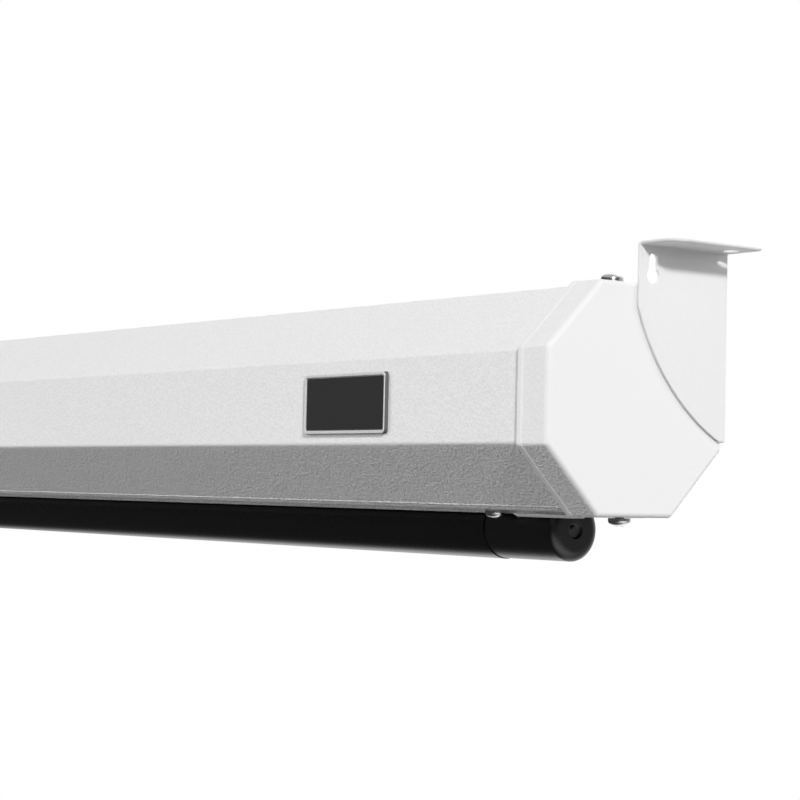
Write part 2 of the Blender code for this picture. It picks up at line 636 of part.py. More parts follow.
def make_inner_bracket(side, material, parent):
    """Steel plate inside the case's end, with a tab for each cap screw and a long foot strip."""
    name = "idler_bracket" if side > 0 else "motor_bracket"
    ends = sorted((inboard(side, CORE_START), inboard(side, CORE_END)))
    plate = rounded(cap_corners(CORE_INSET), CASE_BEND_RADIUS)
    if side > 0:
        bearing = circle((ROLLER_Y, ROLLER_Z), PIN_RADIUS + FIT_GAP, ROUND_STEPS)
    else:
        half = MOTOR_BOSS_SIDE / 2 + FIT_GAP
        bearing = rectangle((ROLLER_Y - half, ROLLER_Z - half), (ROLLER_Y + half, ROLLER_Z + half))
    studs = [circle((y, z), STUD_RADIUS + FIT_GAP, SMALL_ROUND_STEPS) for _, y, z in stud_places()]
    holes = [bearing] + studs
    if side < 0:
        outlet = GROMMET_BORE_RADIUS + GROMMET_WALL + GROMMET_LIP + FIT_GAP
        holes.append(circle(grommet_place(), outlet, ROUND_STEPS))
    flat = prism(plate, ends[0], ends[1], "YZ", holes)
    bracket = make_object(name, flat, material, parent, smooth=False)

    ceiling = CAP_TOP - CORE_INSET - FIT_GAP
    floor = CAP_BOTTOM + CORE_INSET + FIT_GAP
    half = TAB_WIDTH / 2
    tab_end = CORE_START + TAB_LENGTH
    foot_end = LIP_SCREW_INBOARD + FOOT_PAST_SCREW
    strips = [("top_tab", ceiling, -1, tab_end, -CAP_SCREW_TOP_TO_WALL - half, -CAP_SCREW_TOP_TO_WALL + half),
              ("bottom_tab", floor, 1, tab_end, -CAP_SCREW_BOTTOM_TO_WALL - half,
               -CAP_SCREW_BOTTOM_TO_WALL + half),
              ("foot", floor, 1, foot_end, FOOT_FRONT, FOOT_REAR)]
    for word, level, inwards, end, front, rear in strips:
        join(bracket, word, prism(tab_profile(side, level, inwards, end), front, rear, "XZ"))

    x = inboard(side, CAP_SCREW_INBOARD)
    hole = CAP_SCREW_SHANK_RADIUS + FIT_GAP
    depth = PLATE_THICKNESS * 2
    top = (x, -CAP_SCREW_TOP_TO_WALL, ceiling)
    bottom = (x, -CAP_SCREW_BOTTOM_TO_WALL, floor)
    lip = (inboard(side, LIP_SCREW_INBOARD), LIP_SCREW_Y, floor)
    lip_hole = LIP_SCREW_SHANK_RADIUS + FIT_GAP
    cut(bracket, "top_hole", cylinder(top, (0, 0, -1), -FIT_GAP, depth, hole, SMALL_ROUND_STEPS))
    cut(bracket, "bottom_hole", cylinder(bottom, (0, 0, 1), -FIT_GAP, depth, hole, SMALL_ROUND_STEPS))
    cut(bracket, "lip_hole", cylinder(lip, (0, 0, 1), -FIT_GAP, depth, lip_hole, SMALL_ROUND_STEPS))
    return bracket


def make_screws(side, material, parent):
    word = "right" if side > 0 else "left"
    x = inboard(side, CAP_SCREW_INBOARD)
    reach = CORE_INSET + PLATE_THICKNESS + SCREW_POINT + 2 * FIT_GAP
    places = [("cap_screw_top_", (x, -CAP_SCREW_TOP_TO_WALL, CAP_TOP + FIT_GAP), -1),
              ("cap_screw_bottom_", (x, -CAP_SCREW_BOTTOM_TO_WALL, CAP_BOTTOM - FIT_GAP), 1)]
    for name, place, up in places:
        shape = screw_shape(place, (0, 0, up), SCREW_HEAD_RADIUS, SCREW_HEAD_HEIGHT, CAP_SCREW_SHANK_RADIUS,
                            reach)
        make_object(name + word, shape, material, parent)
    place = (inboard(side, LIP_SCREW_INBOARD), LIP_SCREW_Y, CASE_BOTTOM - FIT_GAP)
    reach = CASE_SHEET + PLATE_THICKNESS + SCREW_POINT + 3 * FIT_GAP
    shape = screw_shape(place, (0, 0, 1), LIP_SCREW_HEAD_RADIUS, SCREW_HEAD_HEIGHT, LIP_SCREW_SHANK_RADIUS,
                        reach)
    make_object("lip_screw_" + word, shape, material, parent)


def key_bars(distance_start, distance_end, side, width, depth_from, depth_to):
    """Two bars that run along the tube, opposite each other, as cutters or as the tube's keys."""
    bm = bmesh.new()
    ends = sorted((inboard(side, distance_start), inboard(side, distance_end)))
    for sign in (-1, 1):
        near = sorted((sign * depth_from, sign * depth_to))
        corners = rectangle((ROLLER_Y + near[0], ROLLER_Z - width / 2),
                            (ROLLER_Y + near[1], ROLLER_Z + width / 2))
        one = prism(corners, ends[0], ends[1])
        mesh = bpy.data.meshes.new("key")
        one.to_mesh(mesh)
        one.free()
        bm.from_mesh(mesh)
        bpy.data.meshes.remove(mesh)
    return bm


def cut_key_grooves(thing, side, start, end):
    """Grooves that let the tube's two inner keys into a plug, crown or wheel."""
    floor = BORE_RADIUS - KEY_HEIGHT - FIT_GAP
    groove = key_bars(start - CUT_MARGIN, end + CUT_MARGIN, side, KEY_WIDTH + 2 * FIT_GAP, floor,
                      BORE_RADIUS + CUT_MARGIN)
    cut(thing, "key_grooves", groove)


def make_idler(metal, plastic, case, roller):
    """Fixed pin on the right inner bracket, with the bush and plug that turn on it."""
    axis_start = (inboard(1, 0), ROLLER_Y, ROLLER_Z)
    axis = (-1, 0, 0)
    collar_start = CORE_END + FIT_GAP
    collar_end = collar_start + PIN_COLLAR_THICKNESS
    pin = [(CORE_START, 0), (CORE_START, PIN_RADIUS), (collar_start, PIN_RADIUS),
           (collar_start, PIN_COLLAR_RADIUS), (collar_end, PIN_COLLAR_RADIUS), (collar_end, PIN_RADIUS),
           (collar_end + PIN_REACH - FIT_GAP, PIN_RADIUS), (collar_end + PIN_REACH, PIN_RADIUS - FIT_GAP),
           (collar_end + PIN_REACH, 0)]
    make_object("idler_pin", turned(pin, axis_start, axis), metal, case)

    flange_start = collar_end + FIT_GAP
    flange_end = flange_start + BUSH_WALL
    bush_bore = PIN_RADIUS + FIT_GAP
    bush_outer = bush_bore + BUSH_WALL
    sections = [(flange_start, flange_end, BUSH_FLANGE_RADIUS),
                (flange_end, flange_start + BUSH_LENGTH, bush_outer)]
    shape = turned(ring_profile(sections, bush_bore), axis_start, axis, closed=True)
    make_object("idler_bush", shape, plastic, roller)

    plug_start = flange_end + FIT_GAP
    ring_end = plug_start + END_RING_THICKNESS
    sections = [(plug_start, ring_end, END_RING_RADIUS),
                (ring_end, ring_end + PLUG_LENGTH, BORE_RADIUS - FIT_GAP)]
    shape = turned(ring_profile(sections, bush_outer + FIT_GAP), axis_start, axis, closed=True)
    plug = make_object("idler_plug", shape, plastic, roller)
    cut_key_grooves(plug, 1, ring_end + CUT_MARGIN, ring_end + PLUG_LENGTH)
    return ring_end + FIT_GAP


def make_motor(head_plastic, metal, steel, plastic, brass, case, roller):
    """Tubular motor: head on the left inner bracket, housing in the tube, crown, shaft and wheel."""
    axis_start = (inboard(-1, 0), ROLLER_Y, ROLLER_Z)
    axis = (1, 0, 0)
    head_start = CORE_END + FIT_GAP
    head_end = head_start + MOTOR_HEAD_LENGTH
    chamfer = PLATE_THICKNESS / 2
    head_profile = [(head_start, 0), (head_start, MOTOR_HEAD_RADIUS), (head_end - chamfer, MOTOR_HEAD_RADIUS),
                    (head_end, MOTOR_HEAD_RADIUS - chamfer), (head_end, 0)]
    head = make_object("motor_head", turned(head_profile, axis_start, axis), head_plastic, case)
    half = MOTOR_BOSS_SIDE / 2
    boss = rectangle((ROLLER_Y - half, ROLLER_Z - half), (ROLLER_Y + half, ROLLER_Z + half))
    join(head, "square_boss", prism(boss, inboard(-1, CORE_START), inboard(-1, head_start + FIT_GAP)))

    aim = Vector((0.0, FABRIC_Y - ROLLER_Y, LIP_BOTTOM - ROLLER_Z)).normalized()
    middle = (head_start + head_end - chamfer) / 2
    for name, step in (("limit_screw_up", -0.5), ("limit_screw_down", 0.5)):
        x = inboard(-1, middle + step * LIMIT_SCREW_SPACING)
        centre = Vector((x, ROLLER_Y, ROLLER_Z))
        seat = centre + aim * MOTOR_HEAD_RADIUS
        cut(head, name + "_socket",
            cylinder(seat, -aim, -CUT_MARGIN, LIMIT_SCREW_DEPTH + FIT_GAP, LIMIT_SCREW_RADIUS + FIT_GAP,
                     SMALL_ROUND_STEPS))
        shape = cylinder(seat, -aim, -LIMIT_SCREW_PROUD, LIMIT_SCREW_DEPTH, LIMIT_SCREW_RADIUS,
                         SMALL_ROUND_STEPS)
        screw = make_object(name, shape, brass, case, seat)
        key = cylinder(seat, -aim, -LIMIT_SCREW_PROUD - CUT_MARGIN, -LIMIT_SCREW_PROUD + LIMIT_KEY_DEPTH,
                       LIMIT_KEY_ACROSS_FLATS / math.sqrt(3), 6)
        cut(screw, "key_socket", key)

    motor_start = head_end + FIT_GAP
    motor_end = motor_start + MOTOR_LENGTH
    make_object("motor_tube", cylinder(axis_start, axis, motor_start, motor_end, MOTOR_RADIUS), metal, case)

    crown_start = motor_start + END_RING_THICKNESS
    ring_end = crown_start + END_RING_THICKNESS
    crown_end = ring_end + CROWN_SLEEVE_LENGTH
    sections = [(crown_start, ring_end, END_RING_RADIUS), (ring_end, crown_end, BORE_RADIUS - FIT_GAP)]
    shape = turned(ring_profile(sections, MOTOR_RADIUS + FIT_GAP), axis_start, axis, closed=True)
    crown = make_object("crown_ring", shape, plastic, roller)
    cut_key_grooves(crown, -1, ring_end + CUT_MARGIN, crown_end)

    shaft_start = motor_end + FIT_GAP
    wheel_start = shaft_start + END_RING_THICKNESS
    wheel_end = wheel_start + WHEEL_LENGTH
    shaft_end = wheel_end - FIT_GAP
    screw_bore = circle((ROLLER_Y, ROLLER_Z), WHEEL_SCREW_RADIUS + FIT_GAP, SMALL_ROUND_STEPS)
    shaft = make_object("motor_shaft", prism(hexagon((ROLLER_Y, ROLLER_Z), SHAFT_ACROSS_FLATS),
                                             inboard(-1, shaft_start), inboard(-1, shaft_end)), steel, roller)
    cut(shaft, "screw_bore", prism(screw_bore, inboard(-1, shaft_end - WHEEL_SCREW_LENGTH - FIT_GAP),
                                   inboard(-1, shaft_end + CUT_MARGIN)))

    hex_bore = hexagon((ROLLER_Y, ROLLER_Z), SHAFT_ACROSS_FLATS + 2 * FIT_GAP)
    hub = SHAFT_ACROSS_FLATS / math.sqrt(3)
    hole_circle = (hub + BORE_RADIUS - KEY_HEIGHT) / 2
    holes = []
    for number in range(WHEEL_HOLE_COUNT):
        angle = math.tau * number / WHEEL_HOLE_COUNT
        place = (ROLLER_Y + hole_circle * math.cos(angle), ROLLER_Z + hole_circle * math.sin(angle))
        holes.append(circle(place, WHEEL_HOLE_RADIUS, 12))
    rim = circle((ROLLER_Y, ROLLER_Z), BORE_RADIUS - FIT_GAP, ROUND_STEPS)
    wheel = make_object("drive_wheel", prism(rim, inboard(-1, wheel_start), inboard(-1, wheel_end), "YZ",
                                             [hex_bore] + holes), plastic, roller)
    cut_key_grooves(wheel, -1, wheel_start, wheel_end)

    head_face = wheel_end + FIT_GAP
    place = (inboard(-1, head_face), ROLLER_Y, ROLLER_Z)
    shape = screw_shape(place, (-1, 0, 0), WHEEL_SCREW_HEAD_RADIUS, WHEEL_SCREW_HEAD_HEIGHT,
                        WHEEL_SCREW_RADIUS, WHEEL_SCREW_LENGTH)
    make_object("drive_screw", shape, steel, roller)
    return ring_end + FIT_GAP


def make_roller(tube_left, tube_right, aluminium, fabric, roller):
    """Tube with two inner keys, and the wound fabric as a spiral whose last turn steps up to full radius."""
    outer = circle((ROLLER_Y, ROLLER_Z), TUBE_RADIUS, BIG_ROUND_STEPS)
    half_angle = math.asin(KEY_WIDTH / 2 / BORE_RADIUS)
    bore = []
    for centre in (0.0, math.pi):
        for sign in (-1, 1):
            edge = centre + sign * half_angle
            rim = Vector((BORE_RADIUS * math.cos(edge), BORE_RADIUS * math.sin(edge)))
            inward = Vector((math.cos(centre), math.sin(centre))) * KEY_HEIGHT
            pair = [rim, rim - inward] if sign < 0 else [rim - inward, rim]
            bore += [Vector((ROLLER_Y, ROLLER_Z)) + point for point in pair]
        sweep = circle((ROLLER_Y, ROLLER_Z), BORE_RADIUS, 22, centre + half_angle, math.pi - 2 * half_angle)
        bore += sweep[1:-1]
    ends = (inboard(-1, tube_left), inboard(1, tube_right))
    make_object("roller_tube", prism(outer, ends[0], ends[1], "YZ", [bore]), aluminium, roller)

    spiral = []
    for step in range(BIG_ROUND_STEPS + 1):
        angle = math.tau * step / BIG_ROUND_STEPS
        radius = ROLL_RADIUS - FABRIC_THICKNESS * (1 - step / BIG_ROUND_STEPS)
        spiral.append(Vector((ROLLER_Y + radius * math.cos(angle), ROLLER_Z + radius * math.sin(angle))))
    core = circle((ROLLER_Y, ROLLER_Z), TUBE_RADIUS + FIT_GAP, BIG_ROUND_STEPS)
    ends = (inboard(-1, FABRIC_INBOARD), inboard(1, FABRIC_INBOARD))
    make_object("fabric_roll", prism(spiral, ends[0], ends[1], "YZ", [core]), fabric, roller)


def bar_places():
    """Centre and radii of the hem channel, with the hem's clearances built up from the rod."""
    hem_inner = HEM_ROD_RADIUS + FIT_GAP
    hem_outer = hem_inner + FABRIC_THICKNESS
    channel = hem_outer + FIT_GAP
    channel_z = BAR_RADIUS - CHANNEL_LIP - channel
    return hem_inner, hem_outer, channel, channel_z


def hollow_section(gap):
    """D-shaped hollow of the bar: a round bore less the wall round the hem channel, shrunk by a gap."""
    _, _, channel, channel_z = bar_places()
    big = BAR_RADIUS - BAR_WALL - gap
    small = channel + BAR_WALL + gap
    cross_z = (big ** 2 - small ** 2 + channel_z ** 2) / (2 * channel_z)
    cross_y = math.sqrt(big ** 2 - cross_z ** 2)
    first = math.atan2(cross_z, -cross_y)
    last = math.atan2(cross_z, cross_y) + math.tau
    points = circle((FABRIC_Y, BAR_Z), big, 30, first, last - first)
    start = math.atan2(cross_z - channel_z, cross_y)
    end = math.atan2(cross_z - channel_z, -cross_y)
    back = circle((FABRIC_Y, BAR_Z + channel_z), small, 12, start, (end - start) % math.tau - math.tau)
    return points + back[1:-1]


def make_weight_bar(paint, plastic, fabric, rod, bar):
    """Round tube with a hem channel along its top, a moulded plug in each end, the hem and its rod."""
    hem_inner, hem_outer, channel, channel_z = bar_places()
    slot = FABRIC_THICKNESS + CHANNEL_SLOT_GAP
    top_angle = math.asin(slot / BAR_RADIUS)
    outline = circle((FABRIC_Y, BAR_Z), BAR_RADIUS, BIG_ROUND_STEPS, math.pi / 2 + top_angle,
                     math.tau - 2 * top_angle)
    mouth = math.asin(slot / channel)
    outline += circle((FABRIC_Y, BAR_Z + channel_z), channel, 18, math.pi / 2 - mouth, 2 * mouth - math.tau)
    joint = BAR_END_INBOARD + BAR_PLUG_SLEEVE + FIT_GAP
    tube = prism(outline, inboard(-1, joint), inboard(1, joint), "YZ", [hollow_section(0.0)])
    make_object("weight_bar_tube", tube, paint, bar)

    for side in (-1, 1):
        word = "right" if side > 0 else "left"
        edge = BAR_PLUG_EDGE_RADIUS
        sleeve = BAR_RADIUS - BAR_PLUG_STEP
        profile = [(BAR_PLUG_DIMPLE_DEPTH, 0), (BAR_PLUG_DIMPLE_DEPTH, BAR_PLUG_DIMPLE_FLOOR),
                   (0, BAR_PLUG_DIMPLE_RADIUS)]
        for step in range(5):
            angle = math.radians(90) * step / 4
            profile.append((edge * (1 - math.cos(angle)), sleeve - edge + edge * math.sin(angle)))
        profile += [(BAR_PLUG_SLEEVE, sleeve), (BAR_PLUG_SLEEVE, 0)]
        start = (inboard(side, BAR_END_INBOARD), FABRIC_Y, BAR_Z)
        shape = turned(profile, start, (-side, 0, 0), BIG_ROUND_STEPS)
        plug = make_object("bar_plug_" + word, shape, plastic, bar)
        near = BAR_END_INBOARD + BAR_PLUG_SLEEVE - FIT_GAP
        ends = sorted((inboard(side, near), inboard(side, near + BAR_PLUG_SPIGOT)))
        join(plug, "spigot", prism(hollow_section(FIT_GAP), ends[0], ends[1]))

    ends = (inboard(-1, FABRIC_INBOARD), inboard(1, FABRIC_INBOARD))
    centre = (FABRIC_Y, BAR_Z + channel_z)
    throat = math.asin(FABRIC_THICKNESS / hem_outer)
    bm = prism(circle(centre, HEM_ROD_RADIUS, SMALL_ROUND_STEPS), ends[0], ends[1])
    make_object("hem_rod", bm, rod, bar)
    loop = circle(centre, hem_outer, 20, math.pi / 2 + throat, math.tau - 2 * throat)
    hem_top = BAR_Z + BAR_RADIUS
    loop += [Vector((FABRIC_Y + FABRIC_THICKNESS, hem_top)), Vector((FABRIC_Y - FABRIC_THICKNESS, hem_top))]
    hem = prism(loop, ends[0], ends[1], "YZ", [circle(centre, hem_inner, SMALL_ROUND_STEPS)])
    make_object("fabric_hem", hem, fabric, bar)
    return hem_top


def make_fabric_strip(hem_top, fabric, case):
    half = FABRIC_THICKNESS / 2
    sheet = rectangle((FABRIC_Y - half, hem_top + FIT_GAP), (FABRIC_Y + half, ROLLER_Z))
    bm = prism(sheet, inboard(-1, FABRIC_INBOARD), inboard(1, FABRIC_INBOARD))
    return make_object("fabric_strip", bm, fabric, case)


def make_badge(frame_metal, panel_plastic, case):
    """Bare badge on the front face: a raised frame with a sunk plain panel."""
    face = -CAP_DEPTH + CASE_INSET - FIT_GAP
    right = inboard(1, BADGE_INBOARD)
    low = CAP_BOTTOM + BADGE_ABOVE_BOTTOM

    def outline(inset, y):
        corners = rectangle((right - BADGE_WIDTH + inset, low + inset),
                            (right - inset, low + BADGE_HEIGHT - inset))
        radius = max(BADGE_CORNER_RADIUS - inset * RADIUS_LOSS, FIT_GAP)
        return [(point[0], y, point[1]) for point in rounded(corners, radius)]

    front = face - BADGE_THICKNESS
    recess = front + BADGE_RECESS
    pocket = recess + BADGE_PANEL_THICKNESS
    rings = [outline(0.0, face), outline(0.0, front + BADGE_EDGE), outline(BADGE_EDGE, front),
             outline(BADGE_BORDER - BADGE_EDGE, front), outline(BADGE_BORDER, front + BADGE_EDGE),
             outline(BADGE_BORDER, pocket)]
    make_object("badge_frame", loft(rings), frame_metal, case)
    panel_inset = BADGE_BORDER + FIT_GAP
    rings = [outline(panel_inset, pocket - FIT_GAP), outline(panel_inset, recess)]
    make_object("badge_panel", loft(rings), panel_plastic, case)


def make_grommet(rubber, case):
    y, z = grommet_place()
    neck = GROMMET_BORE_RADIUS + GROMMET_WALL
    lip = neck + GROMMET_LIP
    inner = CAP_END_WALL + FIT_GAP
    sections = [(-FIT_GAP - GROMMET_LIP_THICKNESS, -FIT_GAP, lip), (-FIT_GAP, inner, neck),
                (inner, inner + GROMMET_LIP_THICKNESS, lip)]
    start = (inboard(-1, 0), y, z)
    make_object("cable_grommet", turned(ring_profile(sections, GROMMET_BORE_RADIUS), start, (1, 0, 0),
                                        ROUND_STEPS, True), rubber, case)


def build():
    clear_scene()
    white_paint = make_material("white_paint", (0.86, 0.86, 0.85), 0.55, 0.0)
    white_plastic = make_material("white_plastic", (0.90, 0.90, 0.89), 0.45, 0.0)
    bracket_paint = make_material("bracket_paint", (0.88, 0.88, 0.87), 0.50, 0.0)
    zinc = make_material("zinc_plate", (0.62, 0.62, 0.64), 0.35, 1.0)
    chrome = make_material("screw_chrome", (0.75, 0.75, 0.77), 0.18, 1.0)
    aluminium = make_material("tube_aluminium", (0.72, 0.73, 0.74), 0.40, 1.0)
    fabric = make_material("screen_fabric", (0.82, 0.82, 0.80), 0.90, 0.0)
    black_paint = make_material("bar_paint", (0.015, 0.015, 0.016), 0.38, 0.0)
    black_plastic = make_material("plug_plastic", (0.02, 0.02, 0.02), 0.50, 0.0)
    nylon = make_material("natural_nylon", (0.70, 0.69, 0.64), 0.50, 0.0)
    steel = make_material("motor_steel", (0.42, 0.43, 0.45), 0.35, 1.0)
    head_plastic = make_material("head_plastic", (0.05, 0.05, 0.055), 0.45, 0.0)
    brass = make_material("limit_brass", (0.72, 0.56, 0.25), 0.35, 1.0)
    glass_rod = make_material("hem_rod_glassfibre", (0.75, 0.74, 0.66), 0.45, 0.0)
    rubber = make_material("grommet_rubber", (0.03, 0.03, 0.03), 0.75, 0.0)
    badge_metal = make_material("badge_metal", (0.70, 0.70, 0.72), 0.28, 1.0)
    badge_black = make_material("badge_black", (0.015, 0.015, 0.017), 0.30, 0.0)

    case = make_empty("case_frame", (0.0, 0.0, 0.0))
    roller = make_empty("roller_axis", (0.0, ROLLER_Y, ROLLER_Z))
    bar = make_empty("weight_bar_slide", (0.0, FABRIC_Y, BAR_Z))
    bpy.context.view_layer.update()

    make_case_shell(white_paint, case)
    for side in (1, -1):
        make_end_cap(side, white_plastic, case)
        make_hanger_bracket(side, bracket_paint, case)
        make_inner_bracket(side, zinc, case)
        make_screws(side, chrome, case)
        for name, y, z in stud_places():
            make_bracket_nut(side, name, y, z, zinc, case)
    tube_right = make_idler(steel, nylon, case, roller)
    tube_left = make_motor(head_plastic, steel, steel, nylon, brass, case, roller)
    make_roller(tube_left, tube_right, aluminium, fabric, roller)
    hem_top = make_weight_bar(black_paint, black_plastic, fabric, glass_rod, bar)
    make_fabric_strip(hem_top, fabric, case)
    make_badge(badge_metal, badge_black, case)
    make_grommet(rubber, case)


if __name__ == "__main__":
    build()
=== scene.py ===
"""Finish of a motorized projector screen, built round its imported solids.

Frame: metres, +Z up, +X along the case to the right of a viewer, +Y towards the wall.
"Inboard" is a distance from the outer face of an end cap towards the middle of the case.
"""

import json
import math

import bmesh
import bpy
import numpy as np
from bpy.props import FloatProperty, FloatVectorProperty, PointerProperty
from bpy.types import Operator, Panel, PropertyGroup
from mathutils import Matrix, Vector

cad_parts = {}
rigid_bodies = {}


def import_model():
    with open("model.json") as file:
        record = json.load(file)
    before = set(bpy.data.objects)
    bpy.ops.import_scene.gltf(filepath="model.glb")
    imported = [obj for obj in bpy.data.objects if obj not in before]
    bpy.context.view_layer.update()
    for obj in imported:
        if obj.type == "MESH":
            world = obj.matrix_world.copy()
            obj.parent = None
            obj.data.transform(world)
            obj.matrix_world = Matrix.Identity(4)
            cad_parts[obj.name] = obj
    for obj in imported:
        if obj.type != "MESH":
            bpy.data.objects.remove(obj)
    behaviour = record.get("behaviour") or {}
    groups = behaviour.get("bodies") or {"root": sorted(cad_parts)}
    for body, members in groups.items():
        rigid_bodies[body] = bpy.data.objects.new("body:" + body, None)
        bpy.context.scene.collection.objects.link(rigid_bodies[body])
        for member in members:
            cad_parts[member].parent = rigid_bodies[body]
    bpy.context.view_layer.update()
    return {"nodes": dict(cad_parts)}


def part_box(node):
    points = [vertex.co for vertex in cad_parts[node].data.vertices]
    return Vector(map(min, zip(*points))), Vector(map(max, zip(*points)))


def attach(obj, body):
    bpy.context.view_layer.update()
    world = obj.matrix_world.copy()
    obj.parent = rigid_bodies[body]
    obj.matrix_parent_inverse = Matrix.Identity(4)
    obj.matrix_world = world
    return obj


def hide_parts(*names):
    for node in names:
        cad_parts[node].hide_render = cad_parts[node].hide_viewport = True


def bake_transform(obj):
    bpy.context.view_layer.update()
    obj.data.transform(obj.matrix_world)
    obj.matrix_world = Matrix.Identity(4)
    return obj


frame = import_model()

bl_info = {
    "name": "Motorized Projector Screen",
    "version": (1, 0, 0),
    "blender": (4, 5, 0),
    "location": "3D View > Sidebar > Screen",
    "description": "Builds the finish of a motorized projector screen round its packed solids",
    "category": "Add Mesh",
}

SIDES = (("right", 1), ("left", -1))

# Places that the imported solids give
CAP_LOW, CAP_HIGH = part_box("end_cap_right")
CASE_LOW, CASE_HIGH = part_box("case_shell")
PLUG_LOW, PLUG_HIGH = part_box("bar_plug_right")
TUBE_LOW, TUBE_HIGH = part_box("roller_tube")
BAR_TUBE_LOW, BAR_TUBE_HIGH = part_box("weight_bar_tube")
BADGE_LOW, BADGE_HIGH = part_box("badge_frame")
PANEL_LOW, PANEL_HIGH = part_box("badge_panel")
CAP_SCREW_LOW, CAP_SCREW_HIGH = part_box("cap_screw_bottom_right")
LIP_SCREW_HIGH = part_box("lip_screw_right")[1]
ROLL_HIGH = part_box("fabric_roll")[1]
HALF_LENGTH = CAP_HIGH.x
CAP_TOP = CAP_HIGH.z
FABRIC_Y = (PLUG_LOW.y + PLUG_HIGH.y) / 2
BAR_Z = (PLUG_LOW.z + PLUG_HIGH.z) / 2
ROLLER_Y = (TUBE_LOW.y + TUBE_HIGH.y) / 2
ROLLER_Z = (TUBE_LOW.z + TUBE_HIGH.z) / 2
FABRIC_HALF = ROLL_HIGH.x

# Case and end caps
FIT_GAP = 0.0003
SCREW_HEAD_HEIGHT = 0.0029
CAP_BOTTOM = CAP_SCREW_LOW.z + SCREW_HEAD_HEIGHT + FIT_GAP
CAP_DEPTH = CAP_HIGH.y - CAP_LOW.y
CAP_HEIGHT = CAP_TOP - CAP_BOTTOM
CAP_END_WALL = 0.0025
CAP_INNER_CORNER = 0.0003
SLEEVE_LENGTH = 0.0166
SLEEVE_WALL = 0.00125
RIM_ROUNDING = 0.0005
RIM_BAND = 0.0022
SHOULDER_LENGTH = 0.0011
RIB_HEIGHT = 0.0022
RIB_THICKNESS = 0.0012
RIB_PITCH = 0.020
TONGUE_LENGTH = 0.0335
TONGUE_THICKNESS = 0.0011
TONGUE_SAG = 0.0005
TONGUE_CHAMFER = 0.0017
TONGUE_TIP_SHARE = 0.45
RADIUS_LOSS = 0.4
CAP_Y = CAP_HIGH.y - CAP_DEPTH / 2
CAP_Z = CAP_TOP - CAP_HEIGHT / 2
CASE_SHEET = 0.0012
CASE_INSET = CAP_TOP - CASE_HIGH.z
CASE_BOTTOM = CAP_BOTTOM + CASE_INSET
BEAD_TO_CORNER = 0.0021
LIP_DROP = 0.00135
LIP_BOTTOM = CASE_BOTTOM - LIP_DROP
LIP_EDGE = 0.00045
LIP_FOLD = 0.0010
LIP_ROOT = 0.00025
BAR_RADIUS = 0.0125
BAR_TO_LIP_GAP = 0.0009
SLOT_HALF_WIDTH = math.sqrt(BAR_RADIUS ** 2 - (LIP_BOTTOM - BAR_Z) ** 2) + BAR_TO_LIP_GAP
FRONT_FLANGE = 0.00805
REAR_FLANGE = 0.00325
CHAMFER_SHRINK = 2 - math.sqrt(2)
CASE_SETBACK = (CAP_DEPTH - FRONT_FLANGE - CASE_SHEET - 2 * SLOT_HALF_WIDTH - REAR_FLANGE) / 2
CAP_CHAMFER = CASE_SETBACK - CASE_INSET + CHAMFER_SHRINK * CASE_INSET
FRONT_FLANGE_EDGE = FABRIC_Y - SLOT_HALF_WIDTH - CASE_SHEET

# Screws
CAP_SCREW_INBOARD = 0.0083
CAP_SCREW_TOP_Y = -0.0513
CAP_SCREW_BOTTOM_Y = -0.0454
CAP_SCREW_HEAD = 0.0043
CAP_SHANK = 0.0019
LIP_SCREW_INBOARD = 0.0637
LIP_SCREW_Y = (-CAP_DEPTH + CASE_SETBACK + FRONT_FLANGE_EDGE) / 2 - FIT_GAP
LIP_SCREW_HEAD = 0.0040
LIP_SHANK = 0.00145

# Hanging brackets
BRACKET_SHEET = 0.0012
BRACKET_BEND = 0.0008
BRACKET_REAR_EDGE = 0.00012
PLATE_DEPTH = 0.0466
PLATE_STRAIGHT = 0.0242
PLATE_HEIGHT = 0.0747
PLATE_TIP_CUT = 0.0011
PLATE_ARC_RADIUS = 0.0878
FLANGE_REACH = 0.0195
FLANGE_CORNER = 0.0075
FLANGE_HOLE_REACH = 0.01075
FLANGE_HOLE_Y = -0.0075
FLANGE_HOLE_RADIUS = 0.00325
KEYHOLE_PLACE = (-0.0396, CAP_TOP + 0.0026)
KEYHOLE_SLOT_RISE = 0.0061
KEYHOLE_SLOT_HALF = 0.0023
CELL = RIB_PITCH / 2
STUD_RADIUS = 0.0025
STUD_PLACES = ((CAP_Y + CELL, CAP_Z + RIB_PITCH + CELL), (CAP_Y + RIB_PITCH + CELL, CAP_Z + CELL))
INNER_BRACKET_SHEET = 0.0020
NUT_HEIGHT = 0.0040
STUD_TAIL = 0.0012
STUD_END = HALF_LENGTH - CASE_HIGH.x + INNER_BRACKET_SHEET + FIT_GAP + NUT_HEIGHT + STUD_TAIL
GROMMET_PLACE = (CAP_Y + CELL, CAP_Z - RIB_PITCH - CELL)
GROMMET_HOLE_RADIUS = 0.0066

# Badge
BADGE_BORDER = 0.0014
BADGE_EDGE = 0.0003
BADGE_TAPER = 0.0001
BADGE_SEAT = 0.0012
BADGE_CORNER = 0.0016
BADGE_SLOPE = 0.0008
# How far in from the badge's outline the painted shade on the rim's sides reaches
BADGE_SHADED_SIDE = 0.0011
PANEL_EDGE = 0.00015

